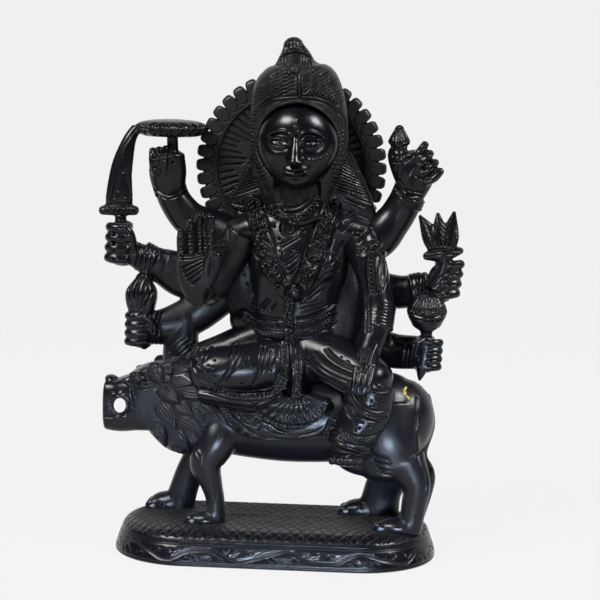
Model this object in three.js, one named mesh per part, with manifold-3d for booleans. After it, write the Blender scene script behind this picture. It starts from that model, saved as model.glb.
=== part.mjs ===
// An eight-armed goddess riding side-saddle on a lion, carved with its plinth from one block of black stone.
// Millimetres, +Z up. The figure faces -Y and the lion walks towards -X. The origin is the middle of the underside.
import * as THREE from "three";
import { mergeVertices } from "three/addons/utils/BufferGeometryUtils.js";
import { SimplifyModifier } from "three/addons/modifiers/SimplifyModifier.js";
import Module from "manifold-3d";

const wasm = await Module();
wasm.setup();

// Driving sizes
const carvingHeight = 182.5; // from the plinth's top to the tip of the crown
const plinthHeight = 13;
const plinthBatter = 2.4; // how far the side band leans in
const plinthRounding = 4; // height of the rounded shoulder between the side band and the top
const plinthInset = 5; // how far the shoulder draws the top in
const plinthCorner = 29; // corner radius in plan
const plinthLedge = 11.6; // ground left outside the paws, lengthwise
const plinthLedgeDepth = 13; // ground left outside the paws, front and back
const bandGroove = 0.5; // depth of the line cut under the shoulder
const haloThickness = 4.5;
const haloKnobs = 40;

// The carving's points are written as it stands at this height, and keep their proportions
const drawnHeight = 182.5;
const carvingScale = carvingHeight / drawnHeight;
const drawnGround = 0.5; // the plinth's top in the drawn points, which run a little below it
const drawnMiddle = 1.1; // middle of the paws in the drawn points
const stanceHalfLength = 49.7; // the ground that the paws and the tail cover
const stanceHalfDepth = 18;
const weld = 0.25; // a join drops edges shorter than this
const facetCount = 9880; // faces kept on the finished stone

// Turns a closed geometry into a solid
function solid(geometry) {
  const bare = geometry.clone();
  bare.deleteAttribute("normal");
  bare.deleteAttribute("uv");
  const merged = mergeVertices(bare, 1e-4);
  return new wasm.Manifold(
    new wasm.Mesh({
      numProp: 3,
      vertProperties: new Float32Array(merged.attributes.position.array),
      triVerts: new Uint32Array(merged.index.array),
      tolerance: weld,
    }),
  );
}

// Skins rings of equally many points, with a fan at each end, into one closed geometry
function skin(rings, hubs = []) {
  const count = rings[0].length;
  const positions = [];
  const faces = [];
  rings.forEach((ring) => ring.forEach((p) => positions.push(p.x, p.y, p.z)));
  for (let i = 0; i + 1 < rings.length; i++) {
    for (let j = 0; j < count; j++) {
      const a = i * count + j;
      const b = i * count + ((j + 1) % count);
      faces.push(a, b, b + count, a, b + count, a + count);
    }
  }
  [0, rings.length - 1].forEach((end, i) => {
    const middle = new THREE.Vector3();
    rings[end].forEach((p) => middle.addScaledVector(p, 1 / count));
    const hub = hubs[i] ?? middle;
    const h = positions.length / 3;
    positions.push(hub.x, hub.y, hub.z);
    for (let j = 0; j < count; j++) {
      const a = end * count + j;
      const b = end * count + ((j + 1) % count);
      faces.push(...(end === 0 ? [h, b, a] : [h, a, b]));
    }
  });
  const geometry = new THREE.BufferGeometry();
  geometry.setAttribute("position", new THREE.Float32BufferAttribute(positions, 3));
  geometry.setIndex(faces);
  return geometry;
}

// A form carried along stations of x, y, z, half width and half depth. Depth runs along facing and width across it;
// square above 2 makes the section boxy, and lobes flute it. The ends are rounded where ends says so, by cap times
// the smaller half size.
function limb(stations, options = {}) {
  const { sides = 7, rings = stations.length, ends = [false, false], cap = 0.8, square = 2, lobes = 0 } = options;
  const facing = new THREE.Vector3(...(options.facing ?? [0, -1, 0]));
  const path = new THREE.CatmullRomCurve3(stations.map((s) => new THREE.Vector3(s[0], s[1], s[2])));
  const girth = new THREE.CatmullRomCurve3(stations.map((s) => new THREE.Vector3(s[3], s[4] ?? s[3], 0)));
  const shoulder = Math.PI / 4;
  const stops = Array.from({ length: rings }, (_, i) => ({ t: i / (rings - 1), turn: 0 }));
  if (ends[0]) stops.unshift({ t: 0, turn: -shoulder });
  if (ends[1]) stops.push({ t: 1, turn: shoulder });
  const reached = (t, share) => {
    const size = girth.getPoint(t);
    return path.getPoint(t).addScaledVector(path.getTangent(t), share * cap * Math.min(size.x, size.y));
  };
  const loops = stops.map(({ t, turn }) => {
    const along = path.getTangent(t);
    const depthWay = facing.clone().addScaledVector(along, -facing.dot(along)).normalize();
    const sideWay = depthWay.clone().cross(along);
    const size = girth.getPoint(t);
    return Array.from({ length: sides }, (_, j) => {
      const angle = (2 * Math.PI * (j + 0.5)) / sides;
      const flute = 1 + 0.12 * Math.sign(lobes) * Math.cos(lobes * angle);
      const rounded = (v) => Math.sign(v) * Math.abs(v) ** (2 / square) * Math.cos(turn) * flute;
      return reached(t, Math.sin(turn))
        .addScaledVector(sideWay, size.x * rounded(Math.cos(angle)))
        .addScaledVector(depthWay, size.y * rounded(Math.sin(angle)));
    });
  });
  return skin(loops, [ends[0] ? reached(0, -1) : null, ends[1] ? reached(1, 1) : null]);
}

// An egg with its own half sizes, turned about Y by tilt degrees
function egg(x, y, z, halfX, halfY, halfZ, { tilt = 0, sides = 8, rows = 4 } = {}) {
  return new THREE.SphereGeometry(1, sides, rows)
    .rotateX(Math.PI / 2)
    .scale(halfX, halfY, halfZ)
    .rotateY(THREE.MathUtils.degToRad(tilt))
    .translate(x, y, z);
}

// A shape turned about an upright axis from a profile of radius and height, squashed in depth
function turned(x, y, z, profile, { sides = 12, depth = 1 } = {}) {
  return new THREE.LatheGeometry(profile.map(([r, h]) => new THREE.Vector2(r, h)), sides)
    .rotateX(Math.PI / 2)
    .scale(1, depth, 1)
    .translate(x, y, z);
}

// A pointed lock with a ridge down its back, lying on a surface from its root to its tip
function lock(root, tip, normal, halfWidth, thickness) {
  const at = (share, lift, width) => [
    ...root.map((v, i) => v + (tip[i] - v) * share + normal[i] * lift),
    halfWidth * width,
    thickness * (0.5 + width / 2),
  ];
  const stations = [at(0, -0.4, 0.5), at(0.5, 0.2, 1), at(1, -0.5, 0.2)];
  return limb(stations, { sides: 3, facing: normal.map((v) => -v) });
}

// A finger bent over stations, square in section, with a blunt tip
function finger(stations, facing) {
  return limb(stations, { sides: 4, rings: 3, square: 3, facing });
}

// A closed hand round a stick: four fingers stacked across the stick and a thumb over them
function fist(centre, reach, grip, halfHeight, halfWidth) {
  const r = new THREE.Vector3(...reach).normalize();
  const g = new THREE.Vector3(...grip).normalize();
  const front = new THREE.Vector3(0, -1, 0);
  const at = (along, up, out) =>
    new THREE.Vector3(...centre)
      .addScaledVector(r, along * halfWidth)
      .addScaledVector(g, up * halfHeight)
      .addScaledVector(front, out)
      .toArray();
  const knuckles = [-1, -0.75, -0.5, -0.25, 0, 0.25, 0.5, 0.75, 1].map((up, i) => {
    const swell = i % 2 ? 1 : 0.8;
    return [...at(0.15, up, 0.8), 0.95 * halfWidth * swell, 4.4 * swell];
  });
  const thumb = finger(
    [
      [...at(-0.9, -0.1, 2.4), 1.9, 1.9],
      [...at(-0.3, 0.7, 3.8), 1.8, 1.8],
      [...at(0.3, 1, 3.4), 1.3, 1.3],
    ],
    reach,
  );
  return [limb(knuckles, { sides: 6 }), thumb];
}

// A bangle round a limb at a point, square to the way the limb runs
function bangle(at, way, halfWidth, halfDepth, height = 1.6) {
  const axis = new THREE.Vector3(...way).normalize();
  const stations = [-0.5, 0.5].map((share) => [
    ...new THREE.Vector3(...at).addScaledVector(axis, share * height).toArray(),
    halfWidth,
    halfDepth,
  ]);
  return limb(stations);
}

// The plinth: a rounded rectangle in plan, a side band with a line cut round it, a rounded shoulder and a flat top
function plinth() {
  const halfLength = stanceHalfLength * carvingScale + plinthLedge;
  const halfDepth = stanceHalfDepth * carvingScale + plinthLedgeDepth;
  const cornerSteps = 5;
  const ring = (inset, z) => {
    const radius = Math.max(plinthCorner - inset, 1);
    const corners = [
      [1, 1, 0],
      [-1, 1, 90],
      [-1, -1, 180],
      [1, -1, 270],
    ];
    return corners.flatMap(([sx, sy, from]) =>
      Array.from({ length: cornerSteps + 1 }, (_, i) => {
        const angle = THREE.MathUtils.degToRad(from + (90 * i) / cornerSteps);
        return new THREE.Vector3(
          sx * (halfLength - inset - radius) + radius * Math.cos(angle),
          sy * (halfDepth - inset - radius) + radius * Math.sin(angle),
          z,
        );
      }),
    );
  };
  const band = plinthHeight - plinthRounding;
  const shoulder = [0, 40, 90].map((degrees) => {
    const angle = THREE.MathUtils.degToRad(degrees);
    const inset = plinthBatter + plinthInset * (1 - Math.cos(angle));
    return ring(inset, band + plinthRounding * Math.sin(angle));
  });
  const groove = [
    [0, -1.3],
    [bandGroove, -0.6],
  ].map(([depth, drop]) => ring(plinthBatter + depth, band + drop));
  return skin([ring(0.5, 0), ring(0, 1.6), ...groove, ...shoulder]);
}

// The lion's trunk, with room for a cloth laid over it
const trunkStations = (lift) =>
  [
    [-30, 0, 43, 15, 12.5],
    [-16, 0, 40.8, 16.3, 15],
    [4, 0, 38.5, 16.1, 15.5],
    [24, 0, 39, 16.2, 15],
    [40, 0, 40.8, 17.4, 15.5],
    [48.6, 0, 40, 15.6, 13.6],
  ].map(([x, y, z, halfHeight, halfWidth]) => [x, y, z, halfHeight + lift, halfWidth + lift]);

function lionBody() {
  const trunk = limb(trunkStations(0), { sides: 12, ends: [false, true], cap: 0.9 });
  const neck = limb(
    [
      [-45, -0.5, 45.4, 14, 9],
      [-38, 0, 44, 18.4, 12],
      [-30, 0, 42.4, 19.1, 14],
      [-20, 0, 41, 17, 14.5],
    ],
    { sides: 10 },
  );
  const nearFore = limb([
    [-18, -6.8, 39, 9.4, 7.2],
    [-20.4, -11, 31, 7.4, 6.5],
    [-24.4, -12, 23, 6.3, 5.4],
    [-22.3, -11.7, 15, 4.2, 4.6],
    [-20.8, -11.3, 8.5, 3.6, 4.2],
    [-20.8, -11.3, 0, 4, 4.4],
  ]);
  const farFore = limb([
    [-24, 7, 36, 9.5, 7],
    [-27.6, 8.5, 24, 7.4, 5.6],
    [-33.8, 9.8, 13.5, 5.6, 5],
    [-38.4, 10.3, 0, 6, 4.8],
  ]);
  const nearThigh = limb(
    [
      [42, -5, 45, 13, 10],
      [43, -9.5, 34, 13, 8.5],
      [45.5, -11, 24, 11.6, 7],
    ],
    { sides: 9, ends: [false, true] },
  );
  const nearShank = limb([
    [50, -11, 26, 9, 6.5],
    [55, -12, 17.4, 5.6, 5],
    [54.4, -12, 9.7, 4.8, 4.6],
    [53, -12, 0, 4.2, 4.6],
  ]);
  const farHind = limb([
    [43, 5, 44, 13, 10],
    [43.5, 9.5, 30, 12.5, 8],
    [44.4, 11, 18, 8.8, 6],
    [41.4, 12, 9, 7.4, 5],
    [39.5, 12, 0, 8.6, 4.8],
  ]);
  const tail = limb(
    [
      [56, 1.5, 49, 3.4, 3.4],
      [58.6, 2, 38, 2.8, 3],
      [56, 2, 26.5, 2.6, 2.6],
      [58.4, 2, 19, 3.4, 3.4],
      [58.2, 2, 12.5, 3, 3.4],
      [54.4, 1, 0, 2.8, 3],
    ],
    { sides: 5 },
  );
  const flank = egg(33, -8, 24.2, 9.5, 6.5, 4.4, { tilt: 14, sides: 7 });
  return [trunk, neck, nearFore, farFore, nearThigh, nearShank, farHind, tail, flank];
}

// Four paws, each a pad with toes in front
function lionPaws() {
  const paws = [
    [-24.6, -12.3, 1.2, 6.2, 4.8, 3.5],
    [-42, 10.4, 1.5, 7.6, 5.2, 4.9],
    [48.2, -13, 1.2, 7.6, 5, 3.6],
    [32.8, 12, 1.4, 7.2, 5, 4.4],
  ];
  const toe = { half: 2.4, z: 0.4, height: 3.2, sides: 6, rows: 2 };
  return paws.flatMap(([x, y, z, halfX, halfY, halfZ]) => [
    egg(x, y, z, halfX, halfY, halfZ, { sides: 7 }),
    ...[-1, 0, 1].map((n) =>
      egg(x - 0.85 * halfX, y + n * halfY * 0.55, toe.z, toe.half, halfY * 0.4, toe.height, toe),
    ),
  ]);
}

// The lion's head: a square-cut muzzle pierced from side to side, a nose pad, brows and ears
const mouth = { x: -59.2, z: 42.2, halfX: 2.1, halfZ: 2.6 };
function lionHead() {
  const skull = limb(
    [
      [-64.3, -1, 42.4, 9.6, 6.4],
      [-59, -1, 42.4, 10.2, 7.6],
      [-53, -1, 43.6, 11, 8.6],
      [-47, -0.5, 45, 13.6, 9.6],
      [-40, 0, 44.5, 16, 11],
    ],
    { sides: 12, square: 3.6, ends: [true, false], cap: 0.22 },
  );
  const nose = egg(-62.6, -1, 52.4, 2.6, 3.6, 1.6, { sides: 6, rows: 3, tilt: 8 });
  const sides = [-1, 1].flatMap((side) => [
    egg(-51, side * 7.2 - 1, 54.2, 3.8, 2.8, 2.2, { tilt: 22, sides: 6, rows: 3 }),
    lock([-46, side * 7.4, 58.4], [-40, side * 11.4, 52], [-0.3, side * 0.95, 0.1], 3.6, 3.2),
  ]);
  return [skull, nose, ...sides];
}
function lionMouth() {
  const bore = new THREE.CylinderGeometry(1, 1, 40, 8).scale(mouth.halfX, 1, mouth.halfZ);
  const hollows = [-8.6, 6.6].map((y) => egg(0, y, 0, 2 * mouth.halfX, 2.2, 1.8 * mouth.halfZ, { rows: 3 }));
  const gape = new THREE.BoxGeometry(9, 40, 0.9).translate(-4.5, 0, -0.4);
  return [bore, ...hollows, gape].map((cut) => cut.translate(mouth.x, 0, mouth.z));
}

// Mane: rows of overlapping locks round the neck, swept back and down
function mane() {
  const rows = [
    { x: -44, centre: 44.6, half: 15, depth: 9.6, locks: 4, shift: 0.1 },
    { x: -36.5, centre: 43.2, half: 18.8, depth: 12.8, locks: 5, shift: 0.47 },
    { x: -28.5, centre: 41.8, half: 18.6, depth: 14.4, locks: 4, shift: 0.14 },
  ];
  const length = 11.5;
  const highest = 78;
  const sweep = 152;
  return rows.flatMap((row) =>
    [-1, 1].flatMap((side) =>
      Array.from({ length: row.locks }, (_, i) => {
        const angle = THREE.MathUtils.degToRad(highest - (sweep * (i + row.shift)) / row.locks);
        const [outY, outZ] = [side * Math.cos(angle), Math.sin(angle)];
        const root = [row.x, row.depth * outY, row.centre + row.half * outZ];
        const tip = [
          row.x + 0.85 * length,
          row.depth * outY + side * (Math.sin(angle) * 0.3 * length + 1),
          row.centre + row.half * outZ - Math.cos(angle) * 0.55 * length,
        ];
        return lock(root, tip, [0, outY, outZ * 0.7], 5.2, 2.2);
      }),
    ),
  );
}

// The saddle cloth: a skin over the trunk, trimmed to its outline, with a raised border
function saddleCloth() {
  const outline = (inset) => {
    const shape = new THREE.Shape();
    shape.moveTo(-25.5 + inset, 62);
    shape.lineTo(-24 + inset, 47);
    shape.quadraticCurveTo(-16 + inset, 31 + inset, -4, 30.6 + inset);
    shape.quadraticCurveTo(10, 29 + inset, 23 - inset, 32.5 + inset);
    shape.lineTo(27 - inset, 62);
    return new THREE.ExtrudeGeometry(shape, { depth: 44, bevelEnabled: false, curveSegments: 3 })
      .rotateX(Math.PI / 2)
      .translate(0, 22, 0);
  };
  const layer = (lift) => solid(limb(trunkStations(lift), { sides: 12 }));
  const border = solid(outline(0)).subtract(solid(outline(3.2)));
  return [layer(1.1).intersect(solid(outline(1.6))), layer(1.9).intersect(border)];
}

// The goddess's trunk, shoulders and neck, and the mantle and hair that join her arms and head to her back
function torso() {
  const trunk = limb(
    [
      [8, 1, 58, 19, 12],
      [8, 1, 70, 15, 10.4],
      [8, 1, 78, 13, 9.2],
      [8.4, 0.5, 88, 14.6, 9.6],
      [8.8, -0.5, 99, 17.5, 10.5],
      [8.8, 0.5, 110, 17, 9],
      [8.7, 1.5, 119, 9, 7.5],
    ],
    { sides: 10 },
  );
  const shoulders = limb(
    [
      [-15, 1.5, 109, 6, 6],
      [-6, 1, 111.5, 7, 7.2],
      [8.7, 1, 113, 8, 8],
      [23, 1, 111.5, 7, 7.2],
      [32, 1.5, 109.5, 6, 6],
    ],
    { ends: [true, true] },
  );
  const neck = limb([
    [8.7, 1, 114, 8.4, 7.5],
    [8.8, -1, 132, 7, 7],
  ]);
  const breasts = [1.2, 16.4].map((x) => egg(x, -6.8, 99, 7.2, 5.6, 7, { rows: 3 }));
  const mantle = limb(
    [
      [12, 6.6, 54, 24, 6.4],
      [12, 7, 68, 26, 5.6],
      [11, 7.2, 77, 25, 5.4],
      [8, 7.4, 88, 27, 5.2],
      [7, 7.6, 98, 26, 5.2],
      [7.6, 7.4, 111, 24, 5.2],
      [8.4, 6.6, 118, 28.5, 4.6],
      [8.8, 6.4, 128, 24.5, 5],
      [8.8, 6, 141, 18.4, 7],
    ],
    { sides: 10, square: 3 },
  );
  const belt = limb(
    [
      [8, 0.6, 71.4, 16, 11.4],
      [8, 0.6, 74.6, 14.8, 10.6],
    ],
    { sides: 10 },
  );
  return [trunk, shoulders, neck, mantle, belt, ...breasts];
}

// Legs: one folded flat along the lion's back, one hanging down its near side to a foot with toes
function legs() {
  const foldedThigh = limb(
    [
      [14, -2, 63.5, 10.5, 10],
      [1, -7, 60.5, 10.2, 9.5],
      [-10, -10, 59, 9.8, 9.4],
      [-20, -11, 58.3, 9.2, 9],
      [-25.2, -11.4, 58, 8, 8],
    ],
    { sides: 9, ends: [false, true] },
  );
  const foldedShin = limb(
    [
      [-24, -9.8, 50, 5.6, 6.6],
      [-8, -12.2, 47.2, 4.8, 6],
      [7, -13.5, 46.5, 4.4, 5.5],
      [13, -14, 47, 3.4, 4.5],
    ],
    { ends: [true, true] },
  );
  const thigh = limb(
    [
      [10, -1, 66, 10, 9.5],
      [22, -7, 63.5, 9.6, 9.3],
      [32, -13, 60, 9.3, 9],
      [38, -15.5, 56.4, 9, 8.8],
    ],
    { sides: 9, ends: [false, true] },
  );
  const shin = limb(
    [
      [38, -15.5, 56, 9, 8.6],
      [36.2, -17.5, 47, 9.4, 8],
      [32.8, -18.8, 38.5, 8.6, 7.4],
      [30, -19.5, 29.5, 6.9, 6.3],
    ],
    { sides: 9 },
  );
  const anklet = bangle([30.8, -19.2, 34], [-0.3, -0.1, -1], 8.6, 7.8, 2.6);
  const foot = egg(29.4, -22.5, 29.2, 7.2, 6.5, 3.1);
  const toes = [-2, -1, 0, 1, 2].map((n) =>
    egg(29.4 + n * 2.6, -27.4 + 0.35 * n * n, 29, 1.6, 2.6, 2, { sides: 6, rows: 2 }),
  );
  const hem = limb(
    [
      [-27, -14.4, 50, 2, 2.6],
      [-15, -17.8, 49, 2, 2.4],
      [-3, -18.3, 48.6, 2, 2.4],
      [2.6, -17.2, 53, 1.8, 1.9],
      [3.4, -14.6, 64, 1.8, 1.9],
    ],
    { sides: 4, rings: 7 },
  );
  const drape = limb(
    [
      [-2, 2, 70.5, 8, 7],
      [-12, 1, 66.8, 7.6, 7],
      [-20, 0, 63.4, 7.2, 7],
      [-30, -1, 59.8, 6.6, 7],
    ],
    { sides: 6 },
  );
  const fold = bangle([35.4, -17.8, 46], [-0.45, -0.1, -1], 10.2, 8.8, 2.4);
  return [foldedThigh, foldedShin, thigh, shin, foot, anklet, hem, drape, fold, ...toes];
}

// The skirt's front: a fan of pleats over the saddle cloth, and two hanging sash ends
function skirtFan() {
  const hub = [7.4, 52];
  const pleats = 8;
  const reach = 15.5;
  const folds = Array.from({ length: pleats }, (_, i) => {
    const angle = THREE.MathUtils.degToRad(-160 + (140 * i) / (pleats - 1));
    const at = (share, y, half, depth) => [
      hub[0] + reach * share * Math.cos(angle),
      y,
      hub[1] + reach * share * Math.sin(angle) * 0.92,
      half,
      depth,
    ];
    return limb([at(0.2, -14.4, 1.2, 3), at(0.7, -15.8, 2.2, 2.8), at(1, -16.2, 2.9, 2.4)], { sides: 4 });
  });
  const sashes = [
    [4.4, 70, 53],
    [10, 66, 50],
  ].map(([x, top, bottom]) =>
    limb(
      [
        [x, -10.5, top, 1.9, 1.9],
        [x, -15.6, (top + bottom) / 2, 2, 1.9],
        [x, -17, bottom, 2, 1.9],
      ],
      { sides: 4, square: 3 },
    ),
  );
  return [...folds, ...sashes];
}

// The head: a round face with nose, lips, eyes and chin
const headCentre = [8.8, -1.2, 143.4];
function head() {
  const [x, y, z] = headCentre;
  const skull = egg(x, y, z, 14.6, 13.2, 16.2, { sides: 12, rows: 7 });
  const chin = egg(x, y - 7.6, z - 12.2, 4.8, 4.4, 3.4, { sides: 6, rows: 3 });
  const nose = limb(
    [
      [x, y - 12, z + 3, 1.2, 1.2],
      [x, y - 13.6, z - 1.5, 1.5, 1.4],
      [x, y - 13.8, z - 4.4, 2.3, 1.8],
    ],
    { sides: 5 },
  );
  const lips = egg(x, y - 11.7, z - 7.8, 3.6, 1.6, 1.6, { sides: 6, rows: 3 });
  const eyes = [-1, 1].map((side) => egg(x + side * 5.8, y - 10.8, z + 1, 3.2, 1.8, 1.5, { sides: 6, rows: 3 }));
  return [skull, chin, nose, lips, ...eyes];
}

// The crown: a dome that runs up into a pointed finial, cut away round the face so that its rim frames it
function crown() {
  const [x] = headCentre;
  const dome = limb(
    [
      [8, 0.6, 134, 16, 12.4],
      [8, 0.6, 144, 19.2, 14.6],
      [7.8, 0.6, 151, 18.8, 15.2],
      [7.4, 0.6, 158, 17.2, 14.8],
      [6.9, 0.6, 165, 14.9, 13],
      [6.5, 0.6, 169.6, 11.6, 10.6],
      [6.1, 0.6, 172.4, 7.4, 7],
      [5.6, 0.6, 175.4, 6.1, 5.9],
      [4.9, 0.6, 180, 3.7, 3.7],
    ],
    { sides: 12, ends: [false, true], cap: 0.85 },
  );
  const faceOpening = egg(x, -17, 141, 14.8, 15.8, 17.2, { sides: 12, rows: 6 });
  const rim = limb(
    [
      [x - 14, -8, 138, 1.2, 1.3],
      [x - 14, -9.2, 147, 1.3, 1.4],
      [x - 9.6, -11.4, 155.4, 1.4, 1.5],
      [x, -13.6, 159, 1.5, 1.6],
      [x + 9.6, -11.4, 155.4, 1.4, 1.5],
      [x + 14, -9.2, 147, 1.3, 1.4],
      [x + 14, -8, 138, 1.2, 1.3],
    ],
    { sides: 4, rings: 9 },
  );
  const jewel = egg(x - 1.8, -9.6, 169, 2.2, 2.6, 2.2, { sides: 6, rows: 3 });
  return solid(dome).subtract(solid(faceOpening)).add(solid(rim)).add(solid(jewel));
}

// The halo: a disc behind the head with knobs round its edge and a dished field
const halo = { x: 3.6, y: 14, z: 133.8, radius: 33.8, knob: 2.6, field: 28.5, dish: 1.6 };
function haloDisc() {
  const shape = new THREE.Shape();
  for (let i = 0; i < haloKnobs; i++) {
    const angle = (2 * Math.PI * i) / haloKnobs;
    const centre = [halo.radius * Math.cos(angle), halo.radius * Math.sin(angle)];
    shape.absarc(...centre, halo.knob, angle - 1.3, angle + 1.3, false);
  }
  const disc = new THREE.ExtrudeGeometry(shape, { depth: haloThickness, bevelEnabled: false, curveSegments: 1 })
    .rotateX(Math.PI / 2)
    .translate(halo.x, halo.y + haloThickness / 2, halo.z);
  const field = new THREE.CylinderGeometry(halo.field, halo.field, 4, 24).translate(
    halo.x,
    halo.y - haloThickness / 2 - 2 + halo.dish,
    halo.z,
  );
  return solid(disc).subtract(solid(field));
}

// A garland of flower heads hanging from both shoulders to the lap, a necklace, its pendant and armlets
function garland() {
  const strands = [
    [
      [-6, -5.4, 113],
      [-3.2, -8.5, 104],
      [0.6, -10.2, 94],
      [5.4, -8.8, 84],
      [9.4, -8.8, 77],
    ],
    [
      [25, -5.4, 113],
      [23, -8.8, 104],
      [19.4, -10.2, 94],
      [14.4, -8.8, 84],
      [10.4, -8.8, 77],
    ],
    [
      [9.8, -9.4, 76],
      [10, -10.6, 70],
      [10.2, -11, 64],
    ],
  ];
  const flowerPitch = 4.4;
  return strands.flatMap((points) => {
    const path = new THREE.CatmullRomCurve3(points.map((p) => new THREE.Vector3(...p)));
    const count = Math.round(path.getLength() / flowerPitch);
    return Array.from({ length: count + 1 }, (_, i) => {
      const p = path.getPointAt(i / count);
      return egg(p.x, p.y, p.z, 3.5, 4.2, 2.5, { sides: 6, rows: 2 });
    });
  });
}
function jewellery() {
  const necklace = limb(
    [
      [0.4, -3, 121, 1.6, 1.4],
      [2.2, -7, 117.4, 1.6, 1.4],
      [8.7, -9, 115, 1.8, 1.6],
      [15.2, -7, 117.4, 1.6, 1.4],
      [17, -3, 121, 1.6, 1.4],
    ],
    { sides: 4, rings: 7 },
  );
  const pendant = egg(6, -9.8, 109.5, 2.9, 2, 2.9, { sides: 6, rows: 3 });
  const armlets = [
    bangle([-18.8, 2, 101], [-0.35, 0, -1], 6.8, 6.8, 2.4),
    bangle([34.6, -1.8, 102.8], [0.4, -0.3, -0.9], 7.4, 7.2, 2.4),
    bangle([39.2, -11.4, 77.6], [-0.2, -0.5, -1], 6.2, 5.9, 4),
  ];
  return [necklace, pendant, ...armlets];
}

// Her front right arm, with the open hand held up, palm outwards
function blessingArm() {
  const arm = limb([
    [-14, 1, 110, 6.5, 6.2],
    [-18.6, 2, 100, 5.7, 5.8],
    [-23.4, 1.4, 91, 5.4, 5.8],
    [-25.8, -1, 85.4, 5, 5.2],
  ]);
  const forearm = limb(
    [
      [-25.8, 2, 86.2, 5.2, 5.4],
      [-27.8, -8, 87.4, 4.8, 4.6],
      [-28.6, -15, 89.6, 4.6, 4.4],
    ],
    { facing: [0, 0, 1] },
  );
  const palm = limb(
    [
      [-29.2, -15.2, 87.6, 4, 3],
      [-28.6, -16.8, 95, 6.6, 3],
      [-28.3, -17.4, 103, 7.2, 2.6],
    ],
    { square: 2.6 },
  );
  const tops = [112.6, 116.4, 118.4, 118];
  const fingers = tops.map((top, i) => {
    const x = -33.8 + i * 3.6;
    return finger([
      [x + 0.6, -17.4, 100, 2.2, 2.4],
      [x, -17.8, (102 + top) / 2, 2.2, 2.4],
      [x + 0.2, -18, top, 1.5, 1.7],
    ]);
  });
  const thumb = finger([
    [-24.6, -16.4, 91, 2.4, 2.6],
    [-21.4, -17.2, 98, 2.4, 2.6],
    [-20.6, -17.8, 104, 1.5, 1.6],
  ]);
  return [arm, forearm, palm, ...fingers, thumb, bangle([-28, -9.4, 87.8], [-0.1, -1, 0.2], 5.9, 5.7)];
}

// Her front left arm, lying along her side with the hand on her knee
function restingArm() {
  const arm = limb(
    [
      [30, 1, 110, 6.8, 6.5],
      [34.5, -2.5, 101, 6.6, 6.3],
      [37.8, -6, 91, 6, 6],
      [39.4, -9, 82, 5.8, 5.6],
      [38, -13, 74, 5.2, 5],
      [36, -16.4, 67, 4.6, 4],
    ],
    { rings: 7 },
  );
  const palm = limb(
    [
      [36.4, -16.4, 69, 4.2, 3.2],
      [35.6, -20.4, 60.5, 5, 2.6],
    ],
    { sides: 6 },
  );
  const fingers = [-1.5, -0.5, 0.5, 1.5].map((n) =>
    finger([
      [35.6 + n * 2.3, -20.6, 63, 1.5, 2],
      [34.8 + n * 2.1, -23.4, 57.5, 1.5, 2],
      [34 + n * 1.9, -24.6, 52.4 + Math.abs(n), 1.1, 1.6],
    ]),
  );
  return [arm, palm, ...fingers];
}

// Upper left hand in the picture: a raised finger carrying a notched war disc
function discArm() {
  const arm = limb([
    [-13, 5, 105, 8, 6],
    [-26, 7, 109.5, 8, 5.6],
    [-34.4, 8, 113.4, 6.9, 5.4],
    [-40.2, 8, 120.6, 6.2, 5],
    [-42.6, 7.6, 128, 6.2, 4.6],
  ]);
  const palm = limb(
    [
      [-42, 7.4, 122, 5.6, 4.4],
      [-42.8, 6.8, 131, 7.2, 4.8],
      [-42.6, 6.2, 138, 6.4, 4.4],
    ],
    { cap: 0.4, ends: [false, true] },
  );
  const pointing = limb([
    [-40.8, 5.8, 134, 2.6, 2.6],
    [-41, 5.8, 147, 2.2, 2.2],
  ]);
  const folded = [0, 1, 2].map((n) =>
    finger([
      [-48.2 + n * 2.6, 3.6 - 0.5 * n, 139.6 + 0.5 * n, 1.6, 1.9],
      [-48 + n * 2.4, 2.2, 135, 1.6, 1.9],
      [-47.2 + n * 2.1, 3.2, 131, 1.4, 1.6],
    ]),
  );
  const radius = 14.4;
  const notches = 14;
  const rim = (share, z) =>
    Array.from({ length: 2 * notches }, (_, i) => {
      const angle = (Math.PI * i) / notches;
      const r = radius * share - (i % 2) * 0.9 * share;
      return new THREE.Vector3(-41.4 + r * Math.cos(angle), 6 + 0.72 * r * Math.sin(angle), 147.9 + z);
    });
  const disc = skin([rim(0.7, -3), rim(1, -0.2), rim(0.74, 3)]);
  return [arm, palm, pointing, ...folded, disc, bangle([-41.4, 7.8, 123.4], [-0.4, 0, 1], 6, 5.4)];
}

// Middle left hand in the picture: a sword held upright, its tip joined to the disc's rim
function swordArm() {
  const arm = limb([
    [-13, 4, 99, 9, 6],
    [-26, 7, 93, 10.6, 6],
    [-36, 7, 92.2, 9.4, 5.6],
    [-43.6, 5, 95, 7.2, 5],
    [-53, 3, 98.8, 5.6, 4.4],
  ]);
  const hand = fist([-58.6, 1.4, 103.9], [-1, 0, 0.1], [0.05, 0, 1], 8, 6);
  const hilt = limb([
    [-59.2, -0.4, 97, 2.2, 2.2],
    [-59.6, -0.4, 116, 2.2, 2.2],
  ]);
  const guard = limb(
    [
      [-66.6, 0, 116.6, 1.8, 3],
      [-60.3, 0, 117.4, 2.7, 3.6],
      [-54, 0, 116.8, 1.8, 3],
    ],
    { rings: 3, ends: [true, true], sides: 6 },
  );
  const blade = limb(
    [
      [-60.3, 0, 117, 5, 2.4],
      [-60.2, 0, 122, 5.2, 2.3],
      [-59.8, 0.5, 130, 4.4, 2.2],
      [-58.8, 1, 136, 3.8, 2.1],
      [-56.8, 2.4, 143.4, 2.6, 2],
      [-54.4, 4.4, 148, 2, 2],
    ],
    { sides: 6, rings: 7 },
  );
  return [arm, ...hand, hilt, guard, blade, bangle([-49.6, 3.8, 98], [-1, 0, 0.5], 6.4, 5.6)];
}

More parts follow.
